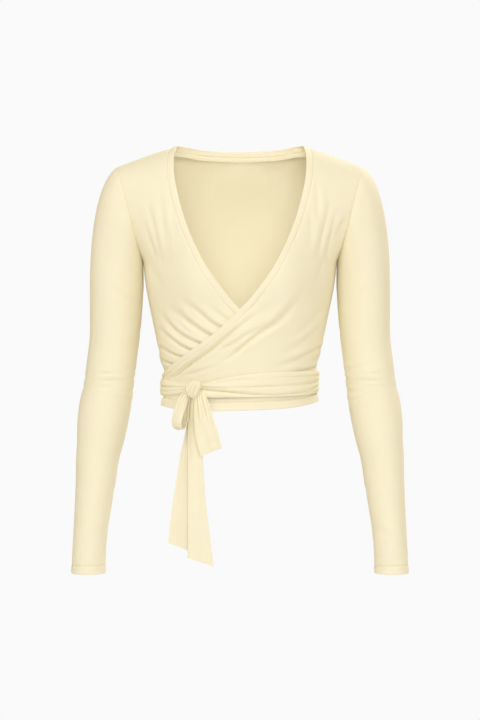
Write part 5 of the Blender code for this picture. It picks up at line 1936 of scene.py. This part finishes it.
MIDDLE = (0.0, 0.0, -0.30)
soft_light("key", (-0.9, -2.0, 2.2), MIDDLE, 0.9, 26)
soft_light("front", (0.2, -3.4, 0.2), MIDDLE, 1.4, 45)
soft_light("left", (-2.4, -1.2, 0.0), MIDDLE, 1.4, 8)
soft_light("right", (2.4, -1.3, 0.1), MIDDLE, 1.4, 10)
soft_light("behind", (1.4, 1.9, 1.7), MIDDLE, 0.9, 60)
inside = soft_light("inside", (0.0, -0.085, -0.11), (0.0, 0.10, -0.11), 0.12, 0.048)
inside.data.color = INSIDE_LAMP
inside.visible_camera = False


def surround(name, seen, given):
    """A world with one colour that the camera sees and another that lights the cloth."""
    made = bpy.data.worlds.new(name)
    made.use_nodes = True
    tree = made.node_tree
    path = tree.nodes.new("ShaderNodeLightPath")
    colour = colour_mix(tree, path.outputs["Is Camera Ray"], given, seen)
    tree.links.new(colour, tree.nodes["Background"].inputs["Color"])
    tree.nodes["Background"].inputs["Strength"].default_value = 1.0
    return made


bpy.context.scene.world = surround("Pale surround", SEEN, GIVEN)
bpy.context.scene.view_settings.view_transform = "Standard"

# %% Camera
EYE_LEVEL = -0.321
EYE_DISTANCE = 3.0
lens = bpy.data.cameras.new("camera")
lens.sensor_fit = "VERTICAL"
lens.sensor_height = 36.0
lens.lens = 100.0
camera = placed("camera", lens)
camera.location = (0.0, -EYE_DISTANCE, EYE_LEVEL)
camera.rotation_euler = (math.pi / 2, 0.0, 0.0)
bpy.context.scene.camera = camera

# %% [markdown]
# ## Put every piece on the body
#
# Every piece rides on the one body and stands for its node, whose plain part is hidden. A table
# keeps the size each piece was cut to.

# %% Pieces on the body
# Each piece's width and length when cut, its area if it isn't an oblong, and what it rests on.
SHEETS = {
    "front_over": (0.325, 0.405, 0.0700, ["back"]),
    "front_under": (0.325, 0.405, 0.0700, ["back"]),
    "back": (0.400, 0.415, 0.1445, ["front_over"]),
    "sleeve_left": (0.365, 0.600, 0.1250, ["front_over"]),
    "sleeve_right": (0.365, 0.600, 0.1250, ["front_under"]),
    "cuff_left": (0.163, 0.026, None, ["sleeve_left"]),
    "cuff_right": (0.163, 0.026, None, ["sleeve_right"]),
    "neckband_over": (0.022, 0.455, None, ["front_over"]),
    "neckband_under": (0.022, 0.455, None, ["front_under"]),
    "neckband_back": (0.240, 0.027, None, ["back"]),
    "tie_over_front": (0.240, 0.039, None, ["front_over"]),
    "tie_over_back": (0.330, 0.0235, None, ["back"]),
    "tie_under_back": (0.325, 0.022, None, ["back"]),
    "tie_under_side": (0.098, 0.027, None, ["front_over"]),
    "bow_loop": (0.022, 0.098, None, ["knot"]),
    "tail_short": (0.036, 0.084, None, ["knot"]),
    "tail_long": (0.066, 0.245, None, ["knot"]),
}
for node, piece in pieces.items():
    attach(piece, "root")
    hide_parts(node)
    if node in SHEETS:
        rows = [sewn[node]] if node in sewn else []
for piece in sewn.values():
    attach(piece, "root")
